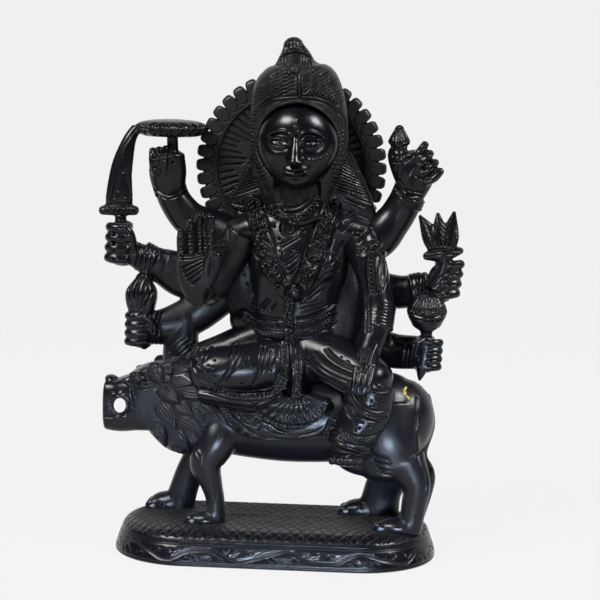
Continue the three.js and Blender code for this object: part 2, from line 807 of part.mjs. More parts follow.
// Lower left hand in the picture: a lotus bud
function budArm() {
  const arm = limb([
    [-6, 6, 94, 8, 6],
    [-20, 7.4, 86.4, 8.2, 5.6],
    [-31, 7, 77.6, 7.7, 5.2],
    [-40, 4.5, 73.2, 7.2, 4.8],
    [-49, 3, 72, 5.6, 4.4],
  ]);
  const bridge = egg(-35.8, 4, 64, 6.8, 5, 9, { sides: 8 });
  const hand = fist([-51.4, 0.8, 71.8], [-1, 0, 0], [0.02, 0, 1], 6.6, 4.8);
  const bud = limb(
    [
      [-51.2, -0.4, 75, 3, 3],
      [-51, -0.4, 80, 5.4, 4.6],
      [-50.8, -0.2, 86, 6, 4.8],
      [-50.8, 0, 92.8, 2, 2],
    ],
    { sides: 9, lobes: 3 },
  );
  const stem = limb(
    [
      [-51, -0.6, 71, 2, 2],
      [-50, -0.8, 63.8, 0.9, 0.9],
    ],
    { sides: 4 },
  );
  return [arm, bridge, ...hand, bud, stem, bangle([-46, 3.8, 71], [-1, 0, 0], 6.2, 5.6)];
}

// Upper right hand in the picture: a conch held between thumb and fingers
function conchArm() {
  const arm = limb([
    [24, 4, 106, 8, 6],
    [36, 6, 107.4, 8.2, 6],
    [43, 8, 114.4, 6.9, 5.6],
    [47.2, 7.6, 121.4, 6.4, 5],
    [49.6, 7, 128, 6, 4.6],
  ]);
  const palm = limb(
    [
      [50.2, 7, 125, 5, 4.4],
      [52, 6.4, 133, 6.8, 4.4],
      [52, 5.8, 140, 5.4, 4],
    ],
    { ends: [false, true], cap: 0.5 },
  );
  const fingers = [0, 1, 2, 3].map((n) =>
    finger([
      [50.2 + 1.7 * n, 3.8, 137.4 - 2.5 * n, 1.9, 2.3],
      [52.6 + 2 * n, 3.2, 141 - 3.1 * n, 2, 2.3],
      [54.8 + 2 * n, 4, 144.2 - 3.3 * n, 1.7, 1.9],
    ]),
  );
  const shell = limb(
    [
      [49.4, 4.4, 126, 3.4, 3.6],
      [46.9, 4, 134, 4.2, 4.3],
      [45, 4, 140, 4.1, 4.1],
      [45, 4, 143, 2.9, 2.9],
      [45, 4, 145, 4, 4],
      [45, 4, 150, 1.6, 1.6],
    ],
    { sides: 8, lobes: 4 },
  );
  return [arm, palm, ...fingers, shell, bangle([48.4, 7.6, 122.6], [0.35, 0, 1], 6.8, 5.8)];
}

// Middle right hand in the picture: an open lotus
function lotusArm() {
  const arm = limb([
    [24, 5, 99, 8, 6],
    [36, 7.5, 89.6, 7.4, 5.6],
    [45, 6.5, 87.8, 6.5, 5],
    [52, 4.5, 88.8, 6.1, 4.6],
    [58, 3, 91, 5.6, 4.4],
  ]);
  const hand = fist([63, 1.2, 93.8], [1, 0, 0.12], [0.12, 0, 1], 7.4, 5.8);
  const stem = limb([
    [60, -3.4, 90, 2.1, 2.1],
    [63.6, -2.4, 102, 2.4, 2.4],
  ]);
  const spread = limb(
    [
      [56.4, -0.6, 102.6, 1.6, 2.6],
      [62.6, -0.6, 103.4, 2.8, 4.6],
      [69, -0.6, 105, 1.4, 2.4],
    ],
    { sides: 6, ends: [true, true], cap: 0.9 },
  );
  const petals = [
    [-0.9, 53.4, 118],
    [0, 60.2, 119.2],
    [0.9, 66.4, 119.8],
  ].map(([n, tipX, tipZ]) =>
    limb(
      [
        [61.8 + 1.6 * n, -0.8, 103, 2.2, 2.2],
        [61.4 + 3.8 * n, -1.2 + Math.abs(n), 110, 3.6, 2.4],
        [tipX, -0.4, tipZ, 0.6, 0.6],
      ],
      { sides: 5 },
    ),
  );
  return [arm, ...hand, stem, spread, ...petals, bangle([53, 4.2, 89.4], [1, 0, 0.2], 6.6, 5.6)];
}

// Lower right hand in the picture: a mace with a ribbed head and a pointed grip
function maceArm() {
  const arm = limb([
    [22, 6, 79, 7, 6],
    [35, 7.5, 68.4, 7.3, 5.6],
    [44, 6, 65.3, 6.8, 5],
    [54, 1.4, 65.6, 6.4, 4.4],
  ]);
  const hand = fist([57.2, -0.2, 65.6], [1, 0, 0], [0.05, 0, 1], 6.2, 4.8);
  const profile = [
    [0, 66],
    [2.4, 66],
    [2.2, 74.4],
    [5.2, 76.4],
    [7.2, 80.4],
    [7.7, 82.2],
    [7, 84.6],
    [4.4, 88],
    [0, 89.6],
  ];
  const club = turned(57.2, -3.2, 0, profile, { sides: 10 });
  const grip = limb(
    [
      [57.1, -3.4, 68, 2.3, 2.2],
      [55.8, -3.6, 60, 2, 2],
      [55, -3.6, 55.6, 0.5, 0.5],
    ],
    { sides: 5 },
  );
  return [arm, ...hand, club, grip];
}

// Joins everything into one stone
const joined = (forms) => forms.reduce((all, form) => all.add(form));
const forms = [
  ...lionBody(),
  ...lionPaws(),
  ...legs(),
  ...skirtFan(),
  ...torso(),
  ...head(),
  ...garland(),
  ...jewellery(),
  ...blessingArm(),
  ...restingArm(),
  ...discArm(),
  ...swordArm(),
  ...budArm(),
  ...conchArm(),
  ...lotusArm(),
  ...maceArm(),
].map(solid);
const lionFace = lionMouth()
  .map(solid)
  .reduce((all, cut) => all.subtract(cut), joined([...lionHead(), ...mane()].map(solid)));
const carving = joined([...forms, ...saddleCloth(), crown(), haloDisc(), lionFace])
  .translate([-drawnMiddle, 0, -drawnGround])
  .scale(carvingScale)
  .translate([0, 0, plinthHeight]);
const below = new THREE.BoxGeometry(400, 400, 40).translate(0, 0, plinthHeight - 21);
const stone = carving.subtract(solid(below)).add(solid(plinth()));

// The joined stone as one geometry, thinned to the faces kept: each vertex taken out drops two of them
const made = stone.getMesh();
const full = new THREE.BufferGeometry();
full.setAttribute("position", new THREE.BufferAttribute(made.vertProperties, made.numProp));
full.setIndex(new THREE.BufferAttribute(made.triVerts, 1));
const surplus = Math.round((made.triVerts.length / 3 - facetCount) / 2);
const carved = await new SimplifyModifier().modify(full, surplus);
carved.computeVertexNormals();

const blackStone = new THREE.MeshStandardMaterial({ color: 0x17181c, roughness: 0.32, metalness: 0 });
const statue = new THREE.Mesh(carved, blackStone);
statue.name = "durga_on_lion";

const group = new THREE.Group();
group.add(statue);
export default group;
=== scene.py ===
# Polished black stone carving: an eight-armed goddess on a walking lion, with halo and oval plinth
import bpy
import numpy as np
from mathutils import Matrix, Vector


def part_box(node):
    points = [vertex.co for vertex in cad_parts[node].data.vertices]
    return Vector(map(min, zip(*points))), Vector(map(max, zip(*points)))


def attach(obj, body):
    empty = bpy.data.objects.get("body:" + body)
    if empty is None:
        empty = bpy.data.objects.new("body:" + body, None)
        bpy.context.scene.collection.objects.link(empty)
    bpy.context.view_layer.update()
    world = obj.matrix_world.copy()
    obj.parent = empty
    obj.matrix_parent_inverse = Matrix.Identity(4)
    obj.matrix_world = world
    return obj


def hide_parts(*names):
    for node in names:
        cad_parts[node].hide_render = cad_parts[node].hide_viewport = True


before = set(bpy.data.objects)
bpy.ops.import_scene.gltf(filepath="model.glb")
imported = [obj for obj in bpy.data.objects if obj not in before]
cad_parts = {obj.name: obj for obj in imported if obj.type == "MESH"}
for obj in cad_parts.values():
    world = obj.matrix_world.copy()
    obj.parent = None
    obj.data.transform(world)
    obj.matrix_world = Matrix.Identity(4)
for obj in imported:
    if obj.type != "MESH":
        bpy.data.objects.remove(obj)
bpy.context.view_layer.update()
stoneNode = "durga_on_lion"
lowCorner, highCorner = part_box(stoneNode)

# Forms are drawn in millimetres from the ground between the paws, then set on the plinth of the frame
drawn = {
    "height": 195.6,  # drawn height, underside to crown tip
    "ground": 0.5,  # drawn z of the plinth's top
    "plinth": 13.0,  # drawn height of the plinth
    "middle": 1.1,  # drawn x over the origin
    "grain": 0.34,  # grain of the carved skins, mm
    "relief": 1.5,  # how much deeper than drawn the strokes are carved
}
mm = (highCorner.z - lowCorner.z) / drawn["height"]
setOff = np.array([-drawn["middle"], 0, drawn["plinth"] - drawn["ground"]])

# Strokes are set out on a drawing sheet of 600 by 600 squares, as they are seen from the front
drawing = {"square": 0.378, "around": 5.0, "roll": 1.0, "distance": 800.0, "height": 210.0, "target": (8.0, 0.0, 97.0)}


def drawingAxes(look):
    # Eye, right, up and forward, and the squares that one unit of slope covers
    a, r = np.radians(look["around"]), np.radians(look["roll"])
    target = np.array(look["target"])
    eye = np.array([target[0] + look["distance"] * np.sin(a), -look["distance"] * np.cos(a), look["height"]])
    forward = target - eye
    reach = np.linalg.norm(forward)
    forward /= reach
    right = np.cross(forward, [0, 0, 1])
    right /= np.linalg.norm(right)
    up = np.cross(right, forward)
    right, up = np.cos(r) * right + np.sin(r) * up, np.cos(r) * up - np.sin(r) * right
    return eye, right, up, forward, reach / look["square"]


eye, eyeRight, eyeUp, eyeForward, eyeReach = drawingAxes(drawing)


def onSheet(points, normals):
    # Squares across and down: the way right and up from the eye, divided by the depth; then how far a face looks back
    off = points + setOff - eye
    deep = off @ eyeForward
    facing = -(normals * off).sum(1) / np.linalg.norm(off, axis=1)
    return 300 + eyeReach * (off @ eyeRight) / deep, 300 - eyeReach * (off @ eyeUp) / deep, facing


def fromSheet(u, v, y):
    # The drawn point of a square at depth y
    ray = eyeForward * eyeReach + eyeRight * (u - 300) + eyeUp * (300 - v)
    return eye + ray * ((y - eye[1]) / ray[1]) - setOff


def spline(stations, count):
    # Catmull-Rom: on each stretch a cubic through both stations, with slopes taken from their neighbours
    s = np.asarray(stations, float)
    padded = np.vstack([2 * s[0] - s[1], s, 2 * s[-1] - s[-2]])
    t = np.linspace(0, len(s) - 1, count)
    i = np.minimum(t.astype(int), len(s) - 2)
    f = (t - i)[:, None]
    a, b, c, d = (padded[i + k] for k in range(4))
    point = 0.5 * (2 * b + (c - a) * f + (2 * a - 5 * b + 4 * c - d) * f**2 + (3 * b - a - 3 * c + d) * f**3)
    slope = 0.5 * ((c - a) + 2 * (2 * a - 5 * b + 4 * c - d) * f + 3 * (3 * b - a - 3 * c + d) * f**2)
    return point, slope


def skin(rings):
    # Rows of points round a form become bands of triangles; the first and last rows close on their middles
    rows, sides = rings.shape[:2]
    points = np.vstack([rings.reshape(-1, 3), rings[0].mean(0), rings[-1].mean(0)])
    i, j = (g.ravel() for g in np.meshgrid(np.arange(rows - 1), np.arange(sides), indexing="ij"))
    a, b = i * sides + j, i * sides + (j + 1) % sides
    j = np.arange(sides)
    k, last, hub = (j + 1) % sides, (rows - 1) * sides, rows * sides
    tris = np.vstack([
        np.stack([a, b, b + sides], 1),
        np.stack([a, b + sides, a + sides], 1),
        np.stack([np.full(sides, hub), k, j], 1),
        np.stack([np.full(sides, hub + 1), last + j, last + k], 1),
    ])
    p, q, r = (points[tris[:, n]] for n in range(3))
    return points, tris if (p * np.cross(q, r)).sum() > 0 else tris[:, ::-1]


def limb(stations, sides=28, ends=(0, 0), cap=0.8, square=2, facing=(0, -1, 0), lobes=0, flute=0.12, step=0.8):
    # Path point + side way * half width * cos a + depth way * half depth * sin a. Square above 2 boxes the section,
    # lobes flute it, and a rounded end turns the last ring in by a quarter circle.
    s = np.array([[*q[:4], q[4] if len(q) > 4 else q[3]] for q in stations], float)
    length = np.linalg.norm(np.diff(s[:, :3], axis=0), axis=1).sum()
    point, slope = spline(s, max(int(length / step), 8))
    t = np.arange(len(point))
    turn = np.zeros(len(point))
    if ends[0]:
        t, turn = np.r_[np.zeros(6, int), t], np.r_[-np.linspace(1.5, 0.25, 6), turn]
    if ends[1]:
        t, turn = np.r_[t, np.full(6, len(point) - 1)], np.r_[turn, np.linspace(0.25, 1.5, 6)]
    point, slope = point[t], slope[t, :3]
    along = slope / np.linalg.norm(slope, axis=1, keepdims=True)
    front = np.asarray(facing, float)
    depthWay = front - along * (along @ front)[:, None]
    depthWay /= np.linalg.norm(depthWay, axis=1, keepdims=True)
    sideWay = np.cross(depthWay, along)
    size = np.maximum(point[:, 3:5], 0.05)
    middle = point[:, :3] + along * (np.sin(turn) * cap * size.min(1))[:, None]
    angle = 2 * np.pi * (np.arange(sides) + 0.5) / sides
    bow = lambda v: np.sign(v) * np.abs(v) ** (2 / square)
    wave = 1 + flute * np.cos(lobes * angle) * (lobes > 0)
    shrink = np.cos(turn)[:, None]
    across = (size[:, :1] * shrink * bow(np.cos(angle)) * wave)[:, :, None] * sideWay[:, None]
    deep = (size[:, 1:] * shrink * bow(np.sin(angle)) * wave)[:, :, None] * depthWay[:, None]
    return skin(middle[:, None] + across + deep)


def egg(x, y, z, halfX, halfY, halfZ, tilt=0, rows=20, sides=28):
    # Half sizes times the unit ball at latitude b and longitude a, leaned about Y by tilt degrees
    b = np.linspace(-1.5, 1.5, rows)[:, None]
    a = np.linspace(0, 2 * np.pi, sides, endpoint=False)
    ball = np.stack([halfX * np.cos(b) * np.cos(a), halfY * np.cos(b) * np.sin(a), halfZ * np.sin(b) + 0 * a], 2)
    c, s = np.cos(np.radians(tilt)), np.sin(np.radians(tilt))
    return skin(ball @ np.array([[c, 0, -s], [0, 1, 0], [s, 0, c]]) + [x, y, z])


def turned(x, y, profile, sides=64, flutes=0, depth=0.0):
    # Radius along the profile times cos a and sin a; flutes are a wave of the radius round the axis
    r, z = np.array(profile, float).T
    a = np.linspace(0, 2 * np.pi, sides, endpoint=False)
    wave = 1 + depth * np.abs(np.cos(flutes * a / 2)) * (flutes > 0)
    return skin(np.stack([x + r[:, None] * wave * np.cos(a), y + r[:, None] * wave * np.sin(a), z[:, None] + 0 * a], 2))


def lock(root, tip, normal, halfWidth, thickness, bend=0.0, lobes=0):
    # A pointed leaf: width follows a half sine skewed to its root, and its middle bows off the surface
    t = np.linspace(0, 1, 9)[:, None]
    root, tip, normal = (np.asarray(v, float) for v in (root, tip, normal))
    side = np.cross(normal, tip - root)
    side /= np.linalg.norm(side)
    middle = root + (tip - root) * t + normal * (0.9 * np.sin(np.pi * t) - 0.5) + side * bend * np.sin(np.pi * t)
    width = halfWidth * (0.35 + 0.65 * np.sin(np.pi * np.minimum(t * 1.15 + 0.12, 1))) * (1 - t**3) + 0.12
    thick = thickness * (0.35 + 0.65 * width / halfWidth)
    return limb(np.hstack([middle, width, thick]), sides=72 if lobes else 16, facing=-normal, lobes=lobes, flute=0.13)


def placer(centre, reach, grip, halfHeight, halfWidth):
    # A hand's own frame: along its reach, up its grip, and out to the front
    r, g = (np.array(v, float) / np.linalg.norm(v) for v in (reach, grip))
    return lambda along, up, out: (np.array(centre, float) + r * along * halfWidth + g * up * halfHeight
                                   + np.array([0, -out, 0])).tolist()


def fist(centre, reach, grip, halfHeight, halfWidth, thumbUp=0.9):
    # Four finger rolls stacked across a stick, over a boxy palm, with the thumb laid over them
    at = placer(centre, reach, grip, halfHeight, halfWidth)
    forms = [limb([[*at(-0.1, -0.95, 0.4), 0.72 * halfWidth, 3.4], [*at(-0.1, 0.95, 0.4), 0.72 * halfWidth, 3.4]],
                  square=3, ends=(1, 1), cap=0.4)]
    for i in range(4):
        up, thick = -0.75 + 0.5 * i, 0.24 * halfHeight
        roll = [[*at(1.0, up - 0.05, -0.6), thick * 0.9, thick], [*at(0.98, up, 2.4), thick, thick],
                [*at(0.35, up, 4.1), thick, thick * 1.05], [*at(-0.5, up + 0.04, 3.4), thick * 0.9, thick]]
        forms.append(limb(roll, sides=18, ends=(1, 1), facing=grip, step=0.6))
    thumb = [[*at(-1.0, -0.2, 1.6), 1.9, 1.9], [*at(-0.75, 0.55, 3.6), 1.8, 1.7], [*at(-0.1, thumbUp, 4.3), 1.35, 1.3]]
    forms.append(limb(thumb, sides=18, ends=(1, 1), facing=reach, step=0.6))
    return forms


def hoops(at, way, halfWidth, halfDepth, count=3, pitch=1.5, thick=0.75):
    # Bangles: rounded hoops side by side round a wrist
    axis = np.array(way, float) / np.linalg.norm(way)
    forms = []
    for i in range(count):
        middle = np.array(at, float) + axis * (i - (count - 1) / 2) * pitch
        ends = [[*(middle + axis * share * thick), halfWidth - 0.35, halfDepth - 0.35] for share in (-1, 1)]
        forms.append(limb([ends[0], [*middle, halfWidth + 0.3, halfDepth + 0.3], ends[1]], sides=48, step=0.25))
    return forms


def gather(forms):
    # Forms laid one after the other in one pair of arrays
    counts = np.cumsum([0] + [len(p) for p, _ in forms])
    return np.vstack([p for p, _ in forms]), np.vstack([t + n for (_, t), n in zip(forms, counts)])


def meshOf(name, points, tris, values=None):
    # Arrays of corners and triangles put into a mesh, with one number for each corner under each name
    mesh = bpy.data.meshes.new(name)
    mesh.vertices.add(len(points))
    mesh.vertices.foreach_set("co", np.ascontiguousarray(points, np.float32).ravel())
    mesh.loops.add(tris.size)
    mesh.loops.foreach_set("vertex_index", np.ascontiguousarray(tris, np.int32).ravel())
    mesh.polygons.add(len(tris))
    mesh.polygons.foreach_set("loop_start", np.arange(0, tris.size, 3, dtype=np.int32))
    mesh.update(calc_edges=True)
    for label, level in (values or {}).items():
        mesh.attributes.new(label, "FLOAT", "POINT").data.foreach_set("value", np.asarray(level, np.float32))
    return mesh


def through(name, points, tris, settings, values=None):
    # Runs a mesh through modifiers, each given as its kind and its settings, and brings back the arrays
    worker = bpy.data.objects.new(name, meshOf(name, points, tris, values))
    bpy.context.collection.objects.link(worker)
    for kind, chosen in settings:
        modifier = worker.modifiers.new(kind.title(), kind)
        for key, value in chosen.items():
            setattr(modifier, key, value)
    result = bpy.data.meshes.new_from_object(worker.evaluated_get(bpy.context.evaluated_depsgraph_get()))
    points = np.empty(len(result.vertices) * 3, np.float32)
    result.vertices.foreach_get("co", points)
    result.calc_loop_triangles()
    tris = np.empty(len(result.loop_triangles) * 3, np.int32)
    result.loop_triangles.foreach_get("vertices", tris)
    levels = {}
    for label in values or {}:
        levels[label] = np.empty(len(result.vertices), np.float32)
        result.attributes[label].data.foreach_get("value", levels[label])
    before = worker.data
    bpy.data.objects.remove(worker)
    bpy.data.meshes.remove(before)
    bpy.data.meshes.remove(result)
    return points.reshape(-1, 3).astype(float), tris.reshape(-1, 3).astype(np.int64), levels


def normalsOf(points, tris):
    # Each corner's normal is the sum of its faces' normals, brought to length one
    a, b, c = (points[tris[:, k]] for k in range(3))
    face = np.cross(b - a, c - a)
    total = np.stack([np.bincount(tris.ravel(), np.repeat(face[:, axis], 3), len(points)) for axis in range(3)], 1)
    return total / np.maximum(np.linalg.norm(total, axis=1, keepdims=True), 1e-12)


def softened(values, tris, rounds):
    # Each round moves every value to the mean of its neighbours
    start, stop = tris[:, [0, 1, 2]].ravel(), tris[:, [1, 2, 0]].ravel()
    count = np.maximum(np.bincount(start, minlength=len(values)), 1)
    for _ in range(rounds):
        values = np.stack([np.bincount(start, values[stop, k], len(values)) / count for k in range(values.shape[1])], 1)
    return values


def refined(points, tris, wanted):
    # Every edge of a wanted face gets its middle; a face is then cut in four, three or two by how many it has
    ends = np.sort(np.vstack([tris[:, [0, 1]], tris[:, [1, 2]], tris[:, [2, 0]]]), axis=1)
    keys, place = np.unique(ends[:, 0] * len(points) + ends[:, 1], return_inverse=True)
    split = np.zeros(len(keys), bool)
    split[place[np.tile(wanted, 3)]] = True
    chosen = keys[split]
    middles = (points[chosen // len(points)] + points[chosen % len(points)]) / 2
    number = np.where(split, np.cumsum(split) - 1 + len(points), -1)
    mid = number[place].reshape(3, -1).T
    count = (mid >= 0).sum(1)
    first = np.where(count == 1, (mid >= 0).argmax(1), np.where(count == 2, ((mid < 0).argmax(1) + 1) % 3, 0))
    pick = (first[:, None] + np.arange(3)) % 3
    a, b, c = np.take_along_axis(tris, pick, 1).T
    d, e, f = np.take_along_axis(mid, pick, 1).T
    faces = lambda which, *corners: [np.stack([v[count == which] for v in corner], 1) for corner in corners]
    made = (faces(0, (a, b, c)) + faces(1, (a, d, c), (d, b, c)) + faces(2, (d, b, e), (a, d, e), (a, e, c))
            + faces(3, (a, d, f), (d, b, e), (f, e, c), (d, e, f)))
    return np.vstack([points, middles]), np.vstack(made)


def step(low, high, value):
    # 0 up to low, 1 from high, and 3 t^2 - 2 t^3 between
    t = np.clip((value - low) / (high - low), 0, 1)
    return t * t * (3 - 2 * t)


class Sheet:
    # A relief map over part of the drawing sheet: u counts squares to the right, v squares down, heights in millimetres
    def __init__(self, u0, v0, u1, v1, pitch=0.3):
        self.low, self.pitch = (u0, v0), pitch
        shape = int((v1 - v0) / pitch) + 2, int((u1 - u0) / pitch) + 2
        # Maps of the grooves and the rise for the relief, of paint for the fleck, and of painted shade
        self.grooves, self.rise, self.paint, self.paintedShade = (np.zeros(shape) for _ in range(4))

    def near(self, line, margin):
        # The part of the map within a margin of a line, and its squares
        low, high = line.min(0) - margin, line.max(0) + margin
        size = self.rise.shape[::-1]
        span = [slice(*(int(np.clip(round((edge[k] - self.low[k]) / self.pitch), 0, size[k])) for edge in (low, high)))
                for k in (0, 1)]
        u = self.low[0] + self.pitch * np.arange(span[0].start, span[0].stop)
        v = self.low[1] + self.pitch * np.arange(span[1].start, span[1].stop)[:, None]
        return (span[1], span[0]), u, v

    def distance(self, line, margin):
        # From each square to the nearest stretch of the line, and how far along the line that is, 0 to 1
        line = np.asarray(line, float)
        if len(line) > 2:
            line = spline(line, 5 * len(line))[0]
        spot, u, v = self.near(line, margin)
        best, at = np.full(np.broadcast_shapes(u.shape, v.shape), 1e9), 0
        for k, (a, b) in enumerate(zip(line[:-1], line[1:])):
            way = b - a
            share = np.clip(((u - a[0]) * way[0] + (v - a[1]) * way[1]) / max(way @ way, 1e-9), 0, 1)
            gap = np.hypot(u - a[0] - share * way[0], v - a[1] - share * way[1])
            at = np.where(gap < best, (k + share) / (len(line) - 1), at)
            best = np.minimum(gap, best)
        return spot, best, at

    def cut(self, line, width=1.0, depth=0.38, taper=0.5):
        # A groove of bell-shaped section that thins towards its end
        spot, gap, at = self.distance(line, 2.5 * width)
        fall = 1 - taper * at**2
        groove = depth * fall * np.exp(-((gap / (width * fall)) ** 2))
        self.grooves[spot] = np.maximum(groove, self.grooves[spot])

    def cuts(self, lines, **how):
        # Grooves of one kind
        for line in lines:
            self.cut(line, **how)

    def stain(self, line, width):
        # Paint on the stone
        spot, gap, _ = self.distance(line, 2 * width)
        self.paint[spot] = np.exp(-((gap / width) ** 4))

    def darken(self, line, width, amount=1.0):
        # Painted shade: darkens the stone's colour along a line, where a recess or a part lies in shadow
        spot, gap, _ = self.distance(line, 2 * width)
        self.paintedShade[spot] = np.maximum(amount * np.exp(-((gap / width) ** 2)), self.paintedShade[spot])

    def between(self, first, last, count, **how):
        # Strokes that turn evenly from the first into the last
        first, last = np.asarray(first, float), np.asarray(last, float)
        self.cuts([first + (last - first) * t for t in np.linspace(0, 1, count)], **how)

    def band(self, line, half=2.0, height=0.4, edge=0.8, taper=0.0):
        # A flat strip that stands up, with rounded edges
        spot, gap, at = self.distance(line, half + 2 * edge)
        half = half * (1 - taper * at**2)
        self.rise[spot] = np.maximum(height * (1 - step(half - edge, half + edge, gap)), self.rise[spot])

    def bead(self, u, v, radius=1.5, height=0.45, ring=0.5):
        # A dome on what is there, with a groove round it
        spot, x, y = self.near(np.array([[u, v]]), 2.2 * radius)
        gap = np.hypot(x - u, y - v) / radius
        base = self.rise[spot]
        self.rise[spot] = base + height * np.sqrt(np.clip(1 - gap**2, 0, 1))
        groove = ring * height * np.exp(-(((gap - 1.25) / 0.3) ** 2))
        self.grooves[spot] = np.maximum(groove, self.grooves[spot])

    def beads(self, line, pitch=4.0, radius=1.5, height=0.45, ring=0.5):
        # Beads at even steps along a line
        line = np.asarray(line, float)
        if len(line) > 2:
            line = spline(line, 60)[0]
        run = np.r_[0, np.cumsum(np.hypot(*np.diff(line, axis=0).T))]
        for where in np.arange(pitch / 2, run[-1], pitch):
            self.bead(np.interp(where, run, line[:, 0]), np.interp(where, run, line[:, 1]), radius, height, ring)

    def dots(self, spots, radius=0.9, depth=0.5):
        # Drilled pits
        for u, v in spots:
            self.cut([(u, v), (u + 0.01, v)], radius, depth, 0)

    def flower(self, u, v, radius, petals, height=0.5):
        # A dome with cuts between its petals, a round heart and a groove about it
        self.bead(u, v, radius, height, 0.8)
        for k in range(petals):
            a = 2 * np.pi * (k + 0.3) / petals
            self.cut([(u + 0.25 * radius * np.cos(a), v + 0.25 * radius * np.sin(a)),
                      (u + radius * np.cos(a), v + radius * np.sin(a))], 0.75, 0.5, -0.5)
        self.bead(u, v, 0.26 * radius, 0.3, 0.6)

    def leaf(self, u0, v0, u1, v1, half, height=0.8, ribs=5):
        # A pointed leaf that laps over what is there: it climbs from root to tip and is grooved along its length
        root, way = np.array([u0, v0], float), np.array([u1 - u0, v1 - v0], float)
        length = np.hypot(*way)
        way = way / length
        spot, u, v = self.near(np.array([[u0, v0], [u1, v1]]), 1.6 * half)
        along = ((u - root[0]) * way[0] + (v - root[1]) * way[1]) / length
        across = (v - root[1]) * way[0] - (u - root[0]) * way[1]
        t = np.clip(along, 0, 1)
        width = half * (0.62 + 0.55 * np.sin(np.pi * t**0.8)) * (1 - t**3.2) ** 0.8 + 1e-3
        share = across / width
        inside = (np.abs(share) < 1) & (along > -0.02) & (along < 1)
        shape = height * (0.15 + 0.85 * t) * (1 - share**4) + 0.12 * height * (1 - share**2)
        groove = 0.34 * height * np.abs(np.sin(np.pi * ribs * (share + 1) / 2)) ** 0.7 * step(0.02, 0.25, t)
        self.rise[spot] = np.where(inside, shape - 0.34 * height + groove, self.rise[spot])
        self.grooves[spot] = np.where(inside, 0, self.grooves[spot])
        rim = (0.5 * height * np.exp(-(((np.abs(share) - 1.05) * width / 1.1) ** 2))
               * (along > 0.05) * (along < 1.12) * ~inside)
        self.grooves[spot] = np.maximum(self.grooves[spot], rim)

    def ladder(self, upper, lower, pitch, **how):
        # Rungs between two lines
        upper, lower = (spline(np.asarray(line, float), 60)[0] for line in (upper, lower))
        run = np.r_[0, np.cumsum(np.hypot(*np.diff(upper, axis=0).T))]
        for where in np.arange(pitch, run[-1], pitch):
            at = np.searchsorted(run, where)
            self.cut([upper[at], lower[at]], **how)

    def pebbles(self, line, half, count, radius=1.2, height=0.45, seed=1):
        # Small beads strewn along a strip
        dice = np.random.default_rng(seed)
        line = spline(np.asarray(line, float), 100)[0]
        for k in range(count):
            spot = line[int((k + dice.uniform(0, 1)) / count * 99)]
            u, v = spot + dice.uniform(-half, half, 2) * (0.9, 0.5)
            self.bead(u, v, radius * dice.uniform(0.75, 1.2), height * dice.uniform(0.7, 1.1), 0.7)

    def read(self, u, v, level=None):
        # Heights between the map's points, by their nearness; nothing beyond its edge
        height = self.rise - self.grooves if level is None else level
        x, y = (u - self.low[0]) / self.pitch, (v - self.low[1]) / self.pitch
        inside = (x > 0) & (y > 0) & (x < height.shape[1] - 1) & (y < height.shape[0] - 1)
        x, y = np.where(inside, x, 0), np.where(inside, y, 0)
        i, j = y.astype(int), x.astype(int)
        f, g = y - i, x - j
        return inside * ((height[i, j] * (1 - g) + height[i, j + 1] * g) * (1 - f)
                         + (height[i + 1, j] * (1 - g) + height[i + 1, j + 1] * g) * f)

    def steepness(self, u, v):
        # The map's slope, widened by a few squares so that a stroke's whole bed gets fine faces
        down, across = np.gradient(self.rise - self.grooves, self.pitch)
        slope = np.hypot(down, across)
        wide = slope.copy()
        for axis in (0, 1):
            for shift in (-3, 3):
                wide = np.maximum(wide, np.roll(slope, shift, axis))
        return self.read(u, v, wide)


# Each carved skin is thinned to its own number, and all of them stay under a million
mostTriangles = {
    "plinth": 100000, "lionBody": 45000, "lionHead": 90000, "seatedLegs": 105000, "saddleCloth": 40000,
    "bodice": 145000, "raisedArm": 45000, "restingArm": 45000, "crown": 85000, "face": 65000, "halo": 65000,
    "leftHands": 75000, "rightHands": 70000,
}


def makePiece(name, forms, sheet=None, extra=None, cuts=(), polish=0.88, rounds=2, within=(-99, 99), mirrored=False):
    # Forms joined in one skin, smoothed, carved along its normals, thinned to its own number and set in the frame
    points, tris = gather(forms)
    settings = [("REMESH", {"mode": "VOXEL", "voxel_size": drawn["grain"]})]
    cutters = []
    for n, cut in enumerate(cuts):
        cutter = bpy.data.objects.new(f"cut{n}", meshOf(f"cut{n}", *cut))
        bpy.context.collection.objects.link(cutter)
        cutters.append(cutter)
        settings.append(("BOOLEAN", {"operation": "DIFFERENCE", "solver": "MANIFOLD", "object": cutter}))
    points, tris, _ = through(name, points, tris, settings)
    for cutter in cutters:
        bpy.data.objects.remove(cutter)
    points = softened(points, tris, rounds)
    return carvePiece(name, points, tris, sheet, extra, polish, within, mirrored)


